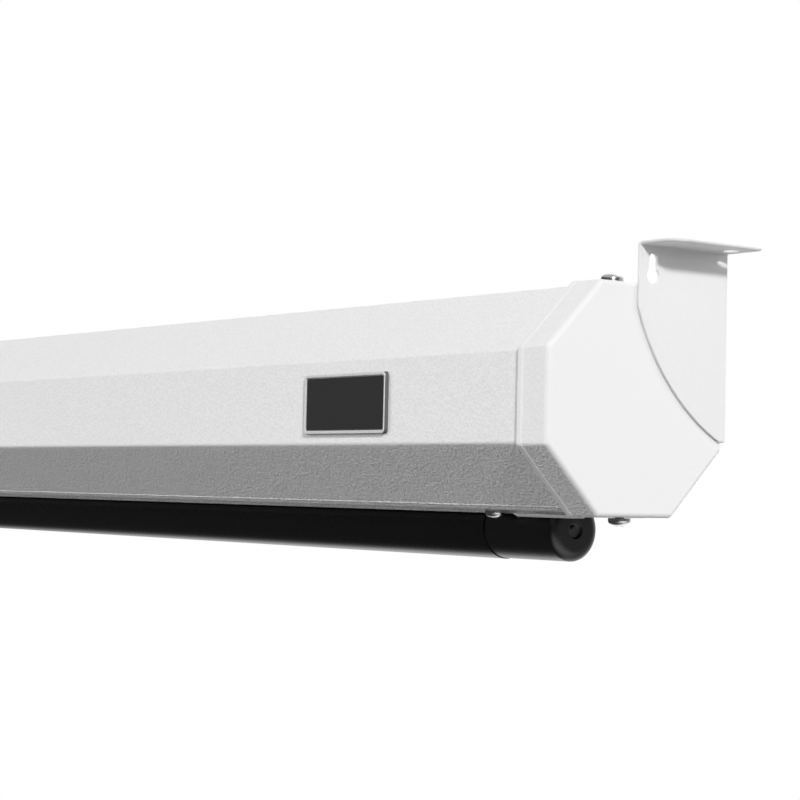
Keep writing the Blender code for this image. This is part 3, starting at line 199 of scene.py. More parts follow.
# Roller, fabric and weight bar
TUBE_RADIUS = 0.0160
FABRIC_THICKNESS = 0.00035
FABRIC_BEND = 0.011
ROLL_FLAT_START = 1.235
ROLL_RADIUS = ROLL_HIGH.y - ROLLER_Y
DROP = 1.2
BAR_WALL = 0.0015
HEM_ROD_RADIUS = 0.0015
ROD_EDGE = 0.0003
CHANNEL_LIP = 0.0017
HEM_INNER = HEM_ROD_RADIUS + FIT_GAP
HEM_OUTER = HEM_INNER + FABRIC_THICKNESS
CHANNEL = HEM_OUTER + FIT_GAP
CHANNEL_Z = BAR_RADIUS - CHANNEL_LIP - CHANNEL
CHANNEL_SLOT_HALF = FABRIC_THICKNESS + 0.0004
PLUG_RADIUS = BAR_RADIUS - 0.0003
PLUG_SLEEVE = 0.0404
PLUG_EDGE = 0.0003
PLUG_DOME = (0.0028, 0.0046)
RECESS_DEPTH = 0.0012
RECESS_RADIUS = 0.0028
SPIGOT_LENGTH = 0.018

# Meshing: how far a cutter stands out of what it cuts, steps of a rounded corner, angle of a sharp edge
CUTTER = 0.006
CORNER_STEPS = 8
SHARP_ANGLE = math.radians(32.0)

# Camera of the photograph, and the lights' directions and angles in degrees
CAMERA_PLACE = (1.62053, -0.5846, -0.09477)
CAMERA_RIGHT = (0.60798, 0.79364, 0.02213)
CAMERA_UP = (0.02121, -0.04409, 0.99880)
CAMERA_BACK = (0.79367, -0.60678, -0.04364)
LIGHTS = (("key", (0.81, -0.43, 0.40), 6.5), ("fill", (0.589, -0.767, 0.252), 50.0),
          ("left", (-0.695, -0.695, 0.17), 50.0), ("right", (0.69, 0.69, 0.21), 50.0),
          ("back", (-0.55, 0.60, 0.58), 40.0), ("below", (0.15, 0.70, -0.70), 60.0))
FLOOR_RADIUS = 50.0


# Properties


def size_property(name, description, default, low, high):
    """A length in metres."""
    return FloatProperty(name=name, description=description, default=default, min=low, max=high,
                         unit="LENGTH")


def colour_property(name, description, default):
    """A colour of a finish."""
    return FloatVectorProperty(name=name, description=description, default=default, size=3, subtype="COLOR",
                               min=0.0, max=1.0)


def light_property(name, description, default, high=20.0):
    """The strength of a light."""
    return FloatProperty(name=name, description=description, default=default, min=0.0, max=high)


class ScreenSizes(PropertyGroup):
    """Sizes of the visible details."""

    cap_edge: size_property("Cap edge radius", "Rounding round the outer face of an end cap",
                            0.0020, 0.0005, 0.003)
    cap_corner: size_property("Cap corner radius", "Rounding of the cap's eight corners",
                              0.0022, 0.001, 0.006)
    cap_flare: size_property("Cap flare", "How far the cap's rim stands proud of its sleeve",
                             0.0003, 0.0, 0.0006)
    case_bend: size_property("Case bend radius", "Outer radius of the folds in the case's sheet",
                             0.0022, 0.0015, 0.006)
    bead_height: size_property("Bead height", "Height of the ridge low on the bevels", 0.00025, 0.0, 0.00025)
    bead_width: size_property("Bead width", "Width of the ridge low on the bevels", 0.0009, 0.0004, 0.003)
    sheet_edge: size_property("Bracket edge radius", "Rounding along the bracket's cut edges",
                              0.0009, 0.0001, 0.0010)
    keyhole: size_property("Keyhole radius", "Radius of the round part of the keyhole", 0.00325, 0.003, 0.005)
    picture_width: size_property("Picture width", "Width of the white picture area", 1.860, 1.0, 1.92)
    picture_height: size_property("Picture height", "Height of the white picture area", 1.046, 0.5, 1.1)
    border: size_property("Bottom border", "Black border between the picture and the bar", 0.040, 0.01, 0.1)


class ScreenFinishes(PropertyGroup):
    """Colours of the visible finishes."""

    case_white: colour_property("Case white", "Powder coat of the case", (0.88, 0.88, 0.88))
    cap_white: colour_property("Cap white", "Moulded white of the end caps", (0.865, 0.865, 0.865))
    bracket_white: colour_property("Bracket white", "Paint of the hanging brackets", (0.82, 0.82, 0.82))
    bar_black: colour_property("Bar black", "Paint of the weight bar", (0.0035, 0.0035, 0.0038))
    badge_silver: colour_property("Badge silver", "Metal of the badge's rim", (0.90, 0.90, 0.91))
    picture_white: colour_property("Picture white", "Viewing surface of the fabric", (0.84, 0.84, 0.83))
    border_black: colour_property("Border black", "Borders and back of the fabric", (0.012, 0.012, 0.013))


class StudioSettings(PropertyGroup):
    """Camera, lights and surroundings."""

    lens: FloatProperty(name="Lens", description="Focal length of the camera in millimetres", default=93.86,
                        min=20.0, max=300.0, unit="CAMERA")
    key: light_property("Key light", "Strength of the key light", 2.38)
    fill: light_property("Fill light", "Strength of the broad light from the front", 0.63)
    left: light_property("Left light", "Strength of the broad light from the left front", 1.57)
    right: light_property("Right light", "Strength of the broad light from the right rear", 0.98)
    back: light_property("Back light", "Strength of the light from behind and above", 1.5)
    below: light_property("Low light", "Strength of the light that the floor throws back", 0.55)
    ambient: light_property("Surroundings", "Brightness of the room round the object", 0.065, 2.0)
    floor: size_property("Floor height", "Height of the floor in the object's frame", -9.0, -12.0, -1.33)


# Shader building


class Wire:
    """A shader socket that can stand in a Python expression; each operator adds one Math node."""

    def __init__(self, shading, socket):
        self.shading = shading
        self.socket = socket

    def maths(self, operation, *terms):
        node = self.shading.node("ShaderNodeMath", {"operation": operation}, dict(enumerate(terms)))
        return Wire(self.shading, node.outputs[0])

    def __add__(self, other):
        return self.maths("ADD", self, other)

    def __radd__(self, other):
        return self.maths("ADD", other, self)

    def __sub__(self, other):
        return self.maths("SUBTRACT", self, other)

    def __rsub__(self, other):
        return self.maths("SUBTRACT", other, self)

    def __mul__(self, other):
        return self.maths("MULTIPLY", self, other)

    def __rmul__(self, other):
        return self.maths("MULTIPLY", other, self)

    def __gt__(self, other):
        return self.maths("GREATER_THAN", self, other)

    def __lt__(self, other):
        return self.maths("LESS_THAN", self, other)

    def __abs__(self):
        return self.maths("ABSOLUTE", self)

    def sine(self):
        return self.maths("SINE", self)

    def smooth(self, low, high):
        """0 at low, 1 at high, and an S curve between."""
        node = self.shading.node("ShaderNodeMapRange", {"interpolation_type": "SMOOTHSTEP"},
                                 {"Value": self, "From Min": low, "From Max": high})
        return Wire(self.shading, node.outputs["Result"])


class Shading:
    """A node tree of a material or of the world, with one method for every kind of node."""

    def __init__(self, owner):
        owner.use_nodes = True
        self.owner = owner
        self.tree = owner.node_tree

    def node(self, kind, settings=None, values=None):
        """Add a node; its settings come first, then the values or links of its sockets."""
        made = self.tree.nodes.new(kind)
        for key, value in (settings or {}).items():
            setattr(made, key, value)
        for key, value in (values or {}).items():
            self.feed(made.inputs[key], value)
        return made

    def feed(self, socket, value):
        if isinstance(value, Wire):
            self.tree.links.new(value.socket, socket)
        else:
            socket.default_value = value


class Finish(Shading):
    """A procedural material whose patterns follow Object coordinates or the piece's UV map."""

    def __init__(self, name, colour, roughness, metallic=0.0, **constants):
        super().__init__(bpy.data.materials.new(name))
        self.colour = (*colour, 1.0)
        self.shader = self.tree.nodes["Principled BSDF"]
        self.set("Base Color", self.colour)
        self.set("Roughness", roughness)
        self.set("Metallic", metallic)
        for key, value in constants.items():
            self.set(key.replace("_", " "), value)
        self.place = Wire(self, self.node("ShaderNodeTexCoord").outputs["Object"])

    def set(self, socket, value):
        self.feed(self.shader.inputs[socket], value)

    def stretched(self, scale):
        """Object coordinates scaled along each axis."""
        node = self.node("ShaderNodeMapping", None, {"Vector": self.place, "Scale": scale})
        return Wire(self, node.outputs[0])

    def axis(self, letter, source=None):
        """One of the three numbers of a coordinate."""
        node = self.node("ShaderNodeSeparateXYZ", None, {"Vector": source or self.place})
        return Wire(self, node.outputs[letter])

    def noise(self, scale, detail=2.0, roughness=0.5, vector=None):
        node = self.node("ShaderNodeTexNoise", None, {"Vector": vector or self.place, "Scale": scale,
                                                      "Detail": detail, "Roughness": roughness})
        return Wire(self, node.outputs[0])

    def cells(self, scale, output="Distance"):
        node = self.node("ShaderNodeTexVoronoi", None, {"Vector": self.place, "Scale": scale})
        return Wire(self, node.outputs[output])

    def mix(self, share, first, second):
        """Colour that goes from first to second as share goes from 0 to 1."""
        node = self.node("ShaderNodeMix", {"data_type": "RGBA"}, {0: share, 6: first, 7: second})
        return Wire(self, node.outputs[2])

    def toned(self, share, factor):
        """The finish's colour, times factor where share is 1."""
        return self.mix(share, self.colour, (*[part * factor for part in self.colour[:3]], 1.0))

    def dressed(self, colour, roughness, relief, depth):
        """The material with its patterns on; relief 0 to 1 is a bump of the given depth in metres."""
        bump = self.node("ShaderNodeBump", None, {"Height": relief, "Distance": depth, "Strength": 1.0})
        self.set("Base Color", colour)
        self.set("Roughness", roughness)
        self.set("Normal", Wire(self, bump.outputs[0]))
        return self.owner


def powder_coat(name, colour, coarse, depth, speckle, outer_face=None):
    """White coat with an orange peel about 1 mm across. On the lower bevels the peel's bump is three times
    deeper, and its dark specks carry painted shade, so these bevels come out darker and grainier than the
    rest.
    A cap's outer face and rim are smoother than its sleeve."""
    finish = Finish(name, colour, 0.5)
    crease = CAP_BOTTOM + CAP_CHAMFER
    # low is 1 on the lower bevels: there it deepens the peel and darkens its specks as painted shade
    low = finish.axis("Z").smooth(crease + 0.0005, crease - 0.0015)
    grain = finish.noise(coarse, 1.5) * 0.7 + finish.noise(coarse * 2.7, 1.0) * 0.3 - 0.5
    if outer_face is not None:
        reach = abs(finish.axis("X"))
        mouth = outer_face - SLEEVE_LENGTH
        rim = reach.smooth(mouth + 0.0034, mouth + 0.0026)
        face = reach.smooth(outer_face - 0.0022, outer_face - 0.0010)
        low = low * (1 - face)
        grain = grain * (1 - rim * 0.8) * (1 - face * 0.85)
    grain = grain * (low * 3.0 + 1) + 0.5
    # Dark specks of the peel, weighted more than twice as heavily on the lower bevels, where the extra
    # darkening is painted shade
    pits_with_low_shade = grain.smooth(0.60, 0.36) * (low * 0.5 + 0.35)
    tone = finish.toned(pits_with_low_shade + finish.noise(9.0, 2.0) * 0.1, 1 - speckle * 2.2)
    return finish.dressed(tone, 0.42 + grain * 0.2, grain, depth)


def plated(name, colour, roughness, spangle, metallic=1.0):
    """Zinc, chrome or silver plate: faint crystals of different shine and fine scratches."""
    finish = Finish(name, colour, roughness, metallic)
    crystal = finish.axis("X", finish.cells(spangle, "Color"))
    scratch = finish.noise(700.0, 3.0, 0.6, finish.stretched((1.0, 0.2, 3.0)))
    tone = finish.toned(crystal * 0.6 + scratch * 0.4, 0.82)
    return finish.dressed(tone, roughness - 0.05 + crystal * 0.07 + scratch * 0.08, scratch, 0.00001)


def drawn_metal(name, colour, roughness):
    """Extruded or turned metal with fine lines along X."""
    finish = Finish(name, colour, roughness, 1.0)
    lines = finish.noise(90.0, 4.0, 0.7, finish.stretched((0.15, 40.0, 40.0)))
    cloud = finish.noise(35.0, 2.0)
    tone = finish.toned(lines * 0.6 + cloud * 0.4, 0.80)
    return finish.dressed(tone, roughness - 0.06 + lines * 0.12 + cloud * 0.06, lines, 0.000012)


def moulded(name, colour, roughness, grain, depth):
    """Moulded plastic or rubber: a fine even grain with faint flow marks."""
    finish = Finish(name, colour, roughness)
    speck = finish.noise(grain, 2.0)
    flow = finish.noise(30.0, 2.0, 0.5, finish.stretched((0.4, 1.0, 1.0)))
    tone = finish.toned(speck * 0.5 + flow * 0.5, 0.80)
    return finish.dressed(tone, roughness - 0.05 + speck * 0.10, speck, depth)


def satin_black(name, colour, roughness, grain, depth, specular=0.5):
    """Black of the weight bar and its plugs: satin, with a faint peel and rare dust specks."""
    finish = Finish(name, colour, roughness, Specular_IOR_Level=specular)
    peel = finish.noise(grain, 2.0)
    dust = finish.cells(260.0).smooth(0.10, 0.02)
    tone = finish.toned(dust * 0.5 + peel * 0.2, 2.2)
    return finish.dressed(tone, roughness - 0.05 + peel * 0.12, peel, depth)


def viewing_fabric(colours, sizes):
    """White picture with black borders, laid out in metres by the UV map: U across, V up from the bar."""
    finish = Finish("viewing_fabric", colours.picture_white, 0.85)
    uv = Wire(finish, finish.node("ShaderNodeUVMap", {"uv_map": "cloth"}).outputs[0])
    across, up = finish.axis("X", uv), finish.axis("Y", uv)
    inside = abs(across) < sizes.picture_width / 2
    picture = inside * (up > sizes.border) * (up < sizes.border + sizes.picture_height)
    threads = math.tau / 0.0012
    weave = (across * threads).sine() * (up * threads).sine()
    mottle = finish.noise(400.0, 3.0, 0.6)
    tone = finish.mix(picture, (*colours.border_black, 1.0), finish.toned(mottle, 0.96))
    return finish.dressed(tone, 0.78 + mottle * 0.12, weave * 0.25 + mottle * 0.75, 0.00003)


def backing_fabric(colours):
    """Black backing of the fabric, a little glossier than its borders."""
    finish = Finish("backing_fabric", colours.border_black, 0.6)
    mottle = finish.noise(500.0, 3.0, 0.6)
    return finish.dressed(finish.toned(mottle, 1.8), 0.5 + mottle * 0.2, mottle, 0.00003)


def glass_fibre(name):
    """Pulled rod: long pale fibres in resin."""
    finish = Finish(name, (0.75, 0.74, 0.66), 0.45)
    fibre = finish.noise(60.0, 4.0, 0.7, finish.stretched((0.2, 60.0, 60.0)))
    return finish.dressed(finish.toned(fibre, 0.7), 0.35 + fibre * 0.2, fibre, 0.00002)


FINISHES = {}


def build_finishes(context):
    """Make every material once and keep it by its slot's name in the record."""
    colours = context.scene.screen_finishes
    recipes = (
        (powder_coat, "case_paint", colours.case_white, 900.0, 0.00030, 0.09),
        (powder_coat, "cap_plastic", colours.cap_white, 900.0, 0.00025, 0.06, HALF_LENGTH),
        (powder_coat, "bracket_paint", colours.bracket_white, 500.0, 0.00002, 0.015),
        (plated, "zinc_plate", (0.66, 0.67, 0.69), 0.34, 260.0),
        (plated, "screw_chrome", (0.78, 0.78, 0.80), 0.22, 900.0),
        (plated, "badge_metal", colours.badge_silver, 0.34, 1200.0, 0.35),
        (drawn_metal, "motor_steel", (0.50, 0.51, 0.53), 0.36),
        (drawn_metal, "tube_aluminium", (0.76, 0.77, 0.78), 0.38),
        (drawn_metal, "limit_brass", (0.76, 0.58, 0.25), 0.32),
        (moulded, "natural_nylon", (0.72, 0.71, 0.65), 0.45, 900.0, 0.00002),
        (moulded, "head_plastic", (0.020, 0.020, 0.022), 0.42, 1100.0, 0.00003),
        (moulded, "grommet_rubber", (0.022, 0.022, 0.022), 0.72, 1400.0, 0.00003),
        # Dark colour for the badge rim's sides: painted shade on the rim's thickness
        (moulded, "badge_side", (0.085, 0.085, 0.088), 0.5, 2600.0, 0.00004),
        (moulded, "badge_black", (0.030, 0.030, 0.031), 0.38, 2200.0, 0.00001),
        (moulded, "plug_floor", (0.055, 0.055, 0.056), 0.45, 2400.0, 0.00006),
        (satin_black, "bar_paint", colours.bar_black, 0.24, 1200.0, 0.000012),
        (satin_black, "plug_plastic", colours.bar_black, 0.30, 1500.0, 0.00006, 0.75),
        (glass_fibre, "hem_rod_glassfibre"),
    )
    for maker, name, *values in recipes:
        FINISHES[name] = maker(name, *values)
    FINISHES["screen_fabric"] = viewing_fabric(colours, context.scene.screen_sizes)
    FINISHES["fabric_back"] = backing_fabric(colours)


# Surfaces


def unit(vectors):
    return vectors / np.linalg.norm(vectors, axis=-1, keepdims=True)


def inboard(side, distance):
    """X of a place that lies a distance inboard of the right (+1) or left (-1) cap's face."""
    return side * (HALF_LENGTH - distance)


def rounded_outline(corners, radii, steps):
    """Closed outline with an arc for each corner.

    An arc starts radius * tan(turn / 2) before its corner, and each of its points is the start's
    spoke turned round the arc's centre by an equal share of the corner's turn.
    """
    corners = np.asarray(corners, float)
    radii = np.broadcast_to(np.asarray(radii, float), len(corners))
    before = unit(corners - np.roll(corners, 1, axis=0))
    after = np.roll(before, -1, axis=0)
    turn = np.arctan2(before[:, 0] * after[:, 1] - before[:, 1] * after[:, 0], (before * after).sum(1))
    start = corners - before * (radii * np.tan(np.abs(turn) / 2))[:, None]
    side = np.stack([-before[:, 1], before[:, 0]], 1) * (radii * np.sign(turn))[:, None]
    angle = turn[:, None] * np.linspace(0.0, 1.0, steps + 1)
    spoke = -side[:, None]
    cosine, sine = np.cos(angle), np.sin(angle)
    arc = np.stack([spoke[..., 0] * cosine - spoke[..., 1] * sine,
                    spoke[..., 0] * sine + spoke[..., 1] * cosine], -1)
    points = (start + side)[:, None] + arc
    kept = (radii[:, None] > 0) | (np.arange(steps + 1) == 0)
    return points[kept]


def arc_points(centre, radius, start, sweep, steps):
    """Points centre + radius * (cos, sin) at equal angles from start through sweep."""
    angle = start + sweep * np.linspace(0.0, 1.0, steps + 1)
    return np.array(centre) + radius * np.stack([np.cos(angle), np.sin(angle)], 1)


def at_x(outline, x):
    """An outline of (Y, Z) points put at one X."""
    return np.column_stack([np.full(len(outline), x), outline])


def at_y(outline, y):
    """An outline of (X, Z) points put at one Y."""
    return np.column_stack([outline[:, 0], np.full(len(outline), y), outline[:, 1]])


def at_z(outline, z):
    """An outline of (X, Y) points put at one Z."""
    return np.column_stack([outline, np.full(len(outline), z)])


def grid_quads(rows, columns, closed):
    """Corner numbers of the quads between neighbouring points of a grid; closed joins the last column
    to the first."""
    row = np.arange(rows - 1)[:, None]
    column = np.arange(columns if closed else columns - 1)
    lower, upper, right = row * columns, (row + 1) * columns, (column + 1) % columns
    return np.stack([lower + column, lower + right, upper + right, upper + column], -1).reshape(-1, 4)


def solid(points):
    """Closed mesh of a grid whose columns run round it, with one flat face on each end. Doubles are merged,
    so that a row on the axis is a pole, and every face is turned outwards."""
    points = np.asarray(points, float)
    rows, columns = points.shape[:2]
    faces = grid_quads(rows, columns, True).tolist()
    faces += [list(range(columns))[::-1], list(range((rows - 1) * columns, rows * columns))]
    mesh = bpy.data.meshes.new("shape")
    mesh.from_pydata(points.reshape(-1, 3), [], faces)
    bm = bmesh.new()
    bm.from_mesh(mesh)
    bmesh.ops.remove_doubles(bm, verts=bm.verts, dist=1e-7)
    bmesh.ops.recalc_face_normals(bm, faces=bm.faces)
    bm.to_mesh(mesh)
    bm.free()
    return mesh


def extruded(outline, start, end):
    """Bar with an outline of (Y, Z) points, from one X to another."""
    return solid([at_x(outline, start), at_x(outline, end)])


def box_solid(low, high):
    """Plain bar between two corners, used to join or cut."""
    corners = np.array([(low[1], low[2]), (high[1], low[2]), (high[1], high[2]), (low[1], high[2])])
    return extruded(corners, low[0], high[0])


def spun(along, radius, columns, origin, axis):
    """Surface round an axis along X or Z: the point at (row, angle) is
    origin + along * axis + radius * (cos(angle) * side + sin(angle) * up).
    along and radius are numbers for each row, or for each row and column; columns is a count or angles."""
    angles = math.tau * np.arange(columns) / columns if isinstance(columns, int) else np.asarray(columns)
    axis = unit(np.array(axis, float))
    side = np.array((0.0, 1.0, 0.0))
    up = abs(np.cross(axis, side))
    shape = (len(along), len(angles))
    along, radius = (np.asarray(x, float) for x in (along, radius))
    along = np.broadcast_to(along if along.ndim == 2 else along[:, None], shape)[..., None]
    radius = np.broadcast_to(radius if radius.ndim == 2 else radius[:, None], shape)[..., None]
    spoke = np.cos(angles)[:, None] * side + np.sin(angles)[:, None] * up
    return np.array(origin) + along * axis + radius * spoke


def level_rod(side, place, radius, start=-CUTTER, end=CUTTER, columns=40):
    """Round bar along X through a place (Y, Z), between two distances inboard, used to join or cut."""
    origin = (inboard(side, start), *place)
    return solid(spun([0.0, end - start], [radius, radius], columns, origin, (-side, 0, 0)))


def upright_rod(place, radius, columns=40):
    """Round bar along Z, as far above a place as below it, used to cut."""
    return solid(spun([-CUTTER, CUTTER], [radius, radius], columns, place, (0, 0, 1)))


def shaped(base, joined=(), taken=()):
    """Join solids to a base mesh and cut others from it."""
    objects = bpy.context.scene.collection.objects
    thing = bpy.data.objects.new("base", base)
    objects.link(thing)
    tools = []
    for operation, solids in (("UNION", joined), ("DIFFERENCE", taken)):
        for mesh in solids:
            tool = bpy.data.objects.new("tool", mesh)
            objects.link(tool)
            tools.append(tool)
            modifier = thing.modifiers.new("shape", "BOOLEAN")
            modifier.operation = operation
            modifier.solver = "EXACT"
            modifier.object = tool
    result = bpy.data.meshes.new_from_object(thing.evaluated_get(bpy.context.evaluated_depsgraph_get()))
    for helper in (thing, *tools):
        bpy.data.objects.remove(helper)
    return result


def add_piece(name, mesh, finish, body, node, second=None):
    """Put a finished mesh in the scene in place of a node: its one or two materials, faces that are smooth
    up to the sharp angle, and the body that it rides on, if it is given one."""
    piece = bpy.data.objects.new(name, mesh)
    bpy.context.scene.collection.objects.link(piece)
    mesh.name = name
    mesh.materials.clear()
    for key in (finish, second) if second else (finish,):
        mesh.materials.append(FINISHES[key])
    mesh.shade_smooth()
    mesh.set_sharp_from_angle(angle=SHARP_ANGLE)
    weighted = piece.modifiers.new("flat faces stay flat", "WEIGHTED_NORMAL")
    weighted.keep_sharp = True
    if body is not None:
        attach(piece, body)
    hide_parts(node)
    return piece


def paint_second(mesh, chosen):
    """Give the second material to the faces that a test of their centres (X, Y, Z) picks."""
    centre = np.empty(len(mesh.polygons) * 3)
    mesh.polygons.foreach_get("center", centre)
    mesh.polygons.foreach_set("material_index", chosen(*centre.reshape(-1, 3).T).astype(np.int32))


def octagon(inset):
    """Corners (Y, Z) of the cap's outline moved inwards, from the bottom front round to the bottom rear."""
    depth, height = CAP_DEPTH / 2 - inset, CAP_HEIGHT / 2 - inset
    chamfer = CAP_CHAMFER - CHAMFER_SHRINK * inset
    front = np.array([(-depth + chamfer, -height), (-depth, -height + chamfer),
                      (-depth, height - chamfer), (-depth + chamfer, height)])
    return np.concatenate([front, front[::-1] * (-1, 1)]) + (CAP_Y, CAP_Z)


# Case


def bead(corner, next_corner, sizes):
    """Ridge near a corner of the section: height * sin(pi * share) ** 2 across its width."""
    along = unit(next_corner - corner)
    out = np.array((along[1], -along[0]))
    if out @ (corner - (CAP_Y, CAP_Z)) < 0:
        out = -out
    share = np.linspace(0.0, 1.0, 9)[:, None]
    foot = corner + along * (BEAD_TO_CORNER + sizes.bead_width * share)
    return foot + out * sizes.bead_height * np.sin(math.pi * share) ** 2


def case_outline(sizes):
    """Open C of bent sheet: folds with the bend radius, beads, and slot lips turned down with soft edges."""
    outer, inner = octagon(CASE_INSET), octagon(CASE_INSET + CASE_SHEET)
    front, rear = FABRIC_Y - SLOT_HALF_WIDTH, FABRIC_Y + SLOT_HALF_WIDTH
    floor, bend = CASE_BOTTOM + CASE_SHEET, sizes.case_bend
    runs = [([(front - CASE_SHEET, LIP_BOTTOM)], LIP_EDGE), ([(front - CASE_SHEET, CASE_BOTTOM)], LIP_ROOT),
            (outer[:1], bend), (bead(outer[0], outer[1], sizes), 0.0), (outer[1:7], bend),
            (bead(outer[7], outer[6], sizes)[::-1], 0.0), (outer[7:], bend),
            ([(rear + CASE_SHEET, CASE_BOTTOM)], LIP_ROOT), ([(rear + CASE_SHEET, LIP_BOTTOM)], LIP_EDGE),
            ([(rear, LIP_BOTTOM)], LIP_EDGE), ([(rear, floor)], LIP_FOLD),
            (inner[::-1], bend - CASE_SHEET / 2),
            ([(front, floor)], LIP_FOLD), ([(front, LIP_BOTTOM)], LIP_EDGE)]
    corners = np.concatenate([np.asarray(points, float) for points, _ in runs])
    radii = np.concatenate([np.full(len(points), radius) for points, radius in runs])
    return rounded_outline(corners, radii, CORNER_STEPS)


class SCREEN_OT_case(Operator):
    """Bend the long case: one section of sheet carried from cap to cap, with its screw holes."""

    bl_idname = "projector.case"
    bl_label = "Case"

    def execute(self, context):
        shell = extruded(case_outline(context.scene.screen_sizes), CASE_LOW.x, CASE_HIGH.x)
        cuts = []
        for _, side in SIDES:
            cap_screw = (inboard(side, CAP_SCREW_INBOARD), CAP_SCREW_TOP_Y, CAP_TOP)
            lip_screw = (inboard(side, LIP_SCREW_INBOARD), LIP_SCREW_Y, CASE_BOTTOM)
            cuts.append(upright_rod(cap_screw, CAP_SHANK + FIT_GAP))
            cuts.append(upright_rod(lip_screw, LIP_SHANK + FIT_GAP))
            near, far = sorted((inboard(side, 0), inboard(side, SLEEVE_LENGTH + FIT_GAP)))
            cuts.append(box_solid((near, -CAP_DEPTH, CAP_BOTTOM - CUTTER), (far, 0.0, CASE_BOTTOM)))
        add_piece("case_sheet", shaped(shell, taken=cuts), "case_paint", "case", "case_shell")
        return {"FINISHED"}


# End caps


class SCREEN_OT_end_caps(Operator):
    """Mould the two end caps: a stack of rounded octagons, ribs, the tongue and the holes."""

    bl_idname = "projector.end_caps"
    bl_label = "End caps"

    def execute(self, context):
        sizes = context.scene.screen_sizes
        for word, side in SIDES:
            holes = [level_rod(side, place, STUD_RADIUS + FIT_GAP) for place in STUD_PLACES]
            for y, z in ((CAP_SCREW_TOP_Y, CAP_TOP), (CAP_SCREW_BOTTOM_Y, CAP_BOTTOM)):
                holes.append(upright_rod((inboard(side, CAP_SCREW_INBOARD), y, z), CAP_SHANK + FIT_GAP))
            if word == "left":
                holes.append(level_rod(side, GROMMET_PLACE, GROMMET_HOLE_RADIUS, columns=64))
            cap = shaped(self.cup(side, sizes), [*self.ribs(side), self.tongue(side)], holes)
            add_piece("end_cap_moulding_" + word, cap, "cap_plastic", "case", "end_cap_" + word)
        return {"FINISHED"}

    def cup(self, side, sizes):
        """Rounded octagons at (distance inboard, inset): a quarter circle round the face, the sleeve, an
        S-shaped shoulder flare * (1 + cos(pi * share)) / 2 up to the rim, a quarter circle round the rim,
        the inner wall and the inner face. A corner's radius loses a share of the inset."""
        angle = np.radians(np.linspace(0.0, 90.0, 10))
        share = np.linspace(0.0, 1.0, 7)
        edge, flare, rim, corner = sizes.cap_edge, sizes.cap_flare, RIM_ROUNDING, CAP_INNER_CORNER
        face = np.column_stack([edge * (1 - np.cos(angle)), flare + edge * (1 - np.sin(angle))])
        shoulder = np.column_stack([SLEEVE_LENGTH - RIM_BAND - SHOULDER_LENGTH * (1 - share),
                                    flare * (1 + np.cos(math.pi * share)) / 2])
        angle = angle[::3]
        mouth = np.column_stack([SLEEVE_LENGTH - rim + rim * np.sin(angle), rim * (1 - np.cos(angle))])
        inner = [(SLEEVE_LENGTH, SLEEVE_WALL - corner), (SLEEVE_LENGTH - corner, SLEEVE_WALL),
                 (CAP_END_WALL + corner, SLEEVE_WALL), (CAP_END_WALL, SLEEVE_WALL + corner)]
        rings = []
        for distance, inset in np.concatenate([face, shoulder, mouth, inner]):
            outline = rounded_outline(octagon(inset), sizes.cap_corner - inset * RADIUS_LOSS, CORNER_STEPS)
            rings.append(at_x(outline, inboard(side, distance)))
        return solid(rings)

    def ribs(self, side):
        """Three upright and three level ribs on the inner face."""
        low, high = sorted((inboard(side, CAP_END_WALL - FIT_GAP), inboard(side, CAP_END_WALL + RIB_HEIGHT)))
        half = RIB_THICKNESS / 2
        inset = SLEEVE_WALL - FIT_GAP
        depth, height = CAP_DEPTH / 2 - inset, CAP_HEIGHT / 2 - inset
        chamfer = CAP_CHAMFER - CHAMFER_SHRINK * inset
        bars = []
        for offset in (-RIB_PITCH, 0.0, RIB_PITCH):
            tall = height - max(0.0, abs(offset) - (depth - chamfer))
            wide = depth - max(0.0, abs(offset) - (height - chamfer))
            for y, z, half_y, half_z in ((CAP_Y + offset, CAP_Z, half, tall),
                                         (CAP_Y, CAP_Z + offset, wide, half)):
                bars.append(box_solid((low, y - half_y, z - half_z), (high, y + half_y, z + half_z)))
        return bars

    def tongue(self, side):
        """Flat tongue with a rounded tip: an outline at each height, with a soft-edged chamfer round its
        underside. Its root lies in the sleeve's wall."""
        front, rear = -CAP_DEPTH + CAP_CHAMFER + FIT_GAP, FRONT_FLANGE_EDGE - FIT_GAP
        near, end = inboard(side, SLEEVE_LENGTH - SLEEVE_WALL), SLEEVE_LENGTH + TONGUE_LENGTH
        tip = (rear - front) * TONGUE_TIP_SHARE
        levels = ((0.0, 1.0), (0.00006, 0.88), (0.00098, 0.04), (0.00103, 0.0), (TONGUE_THICKNESS, 0.0))
        rings = []
        for height, share in levels:
            inset = TONGUE_CHAMFER * share
            low, high, far = front + inset, rear - inset, inboard(side, end - inset)
            outline = rounded_outline([(near, low), (far, low), (far, high), (near, high)],
                                      [0, tip - inset, tip - inset, 0], 10)
            rings.append(at_z(outline, CAP_BOTTOM - TONGUE_SAG + height))
        return solid(rings)


# Hanging brackets


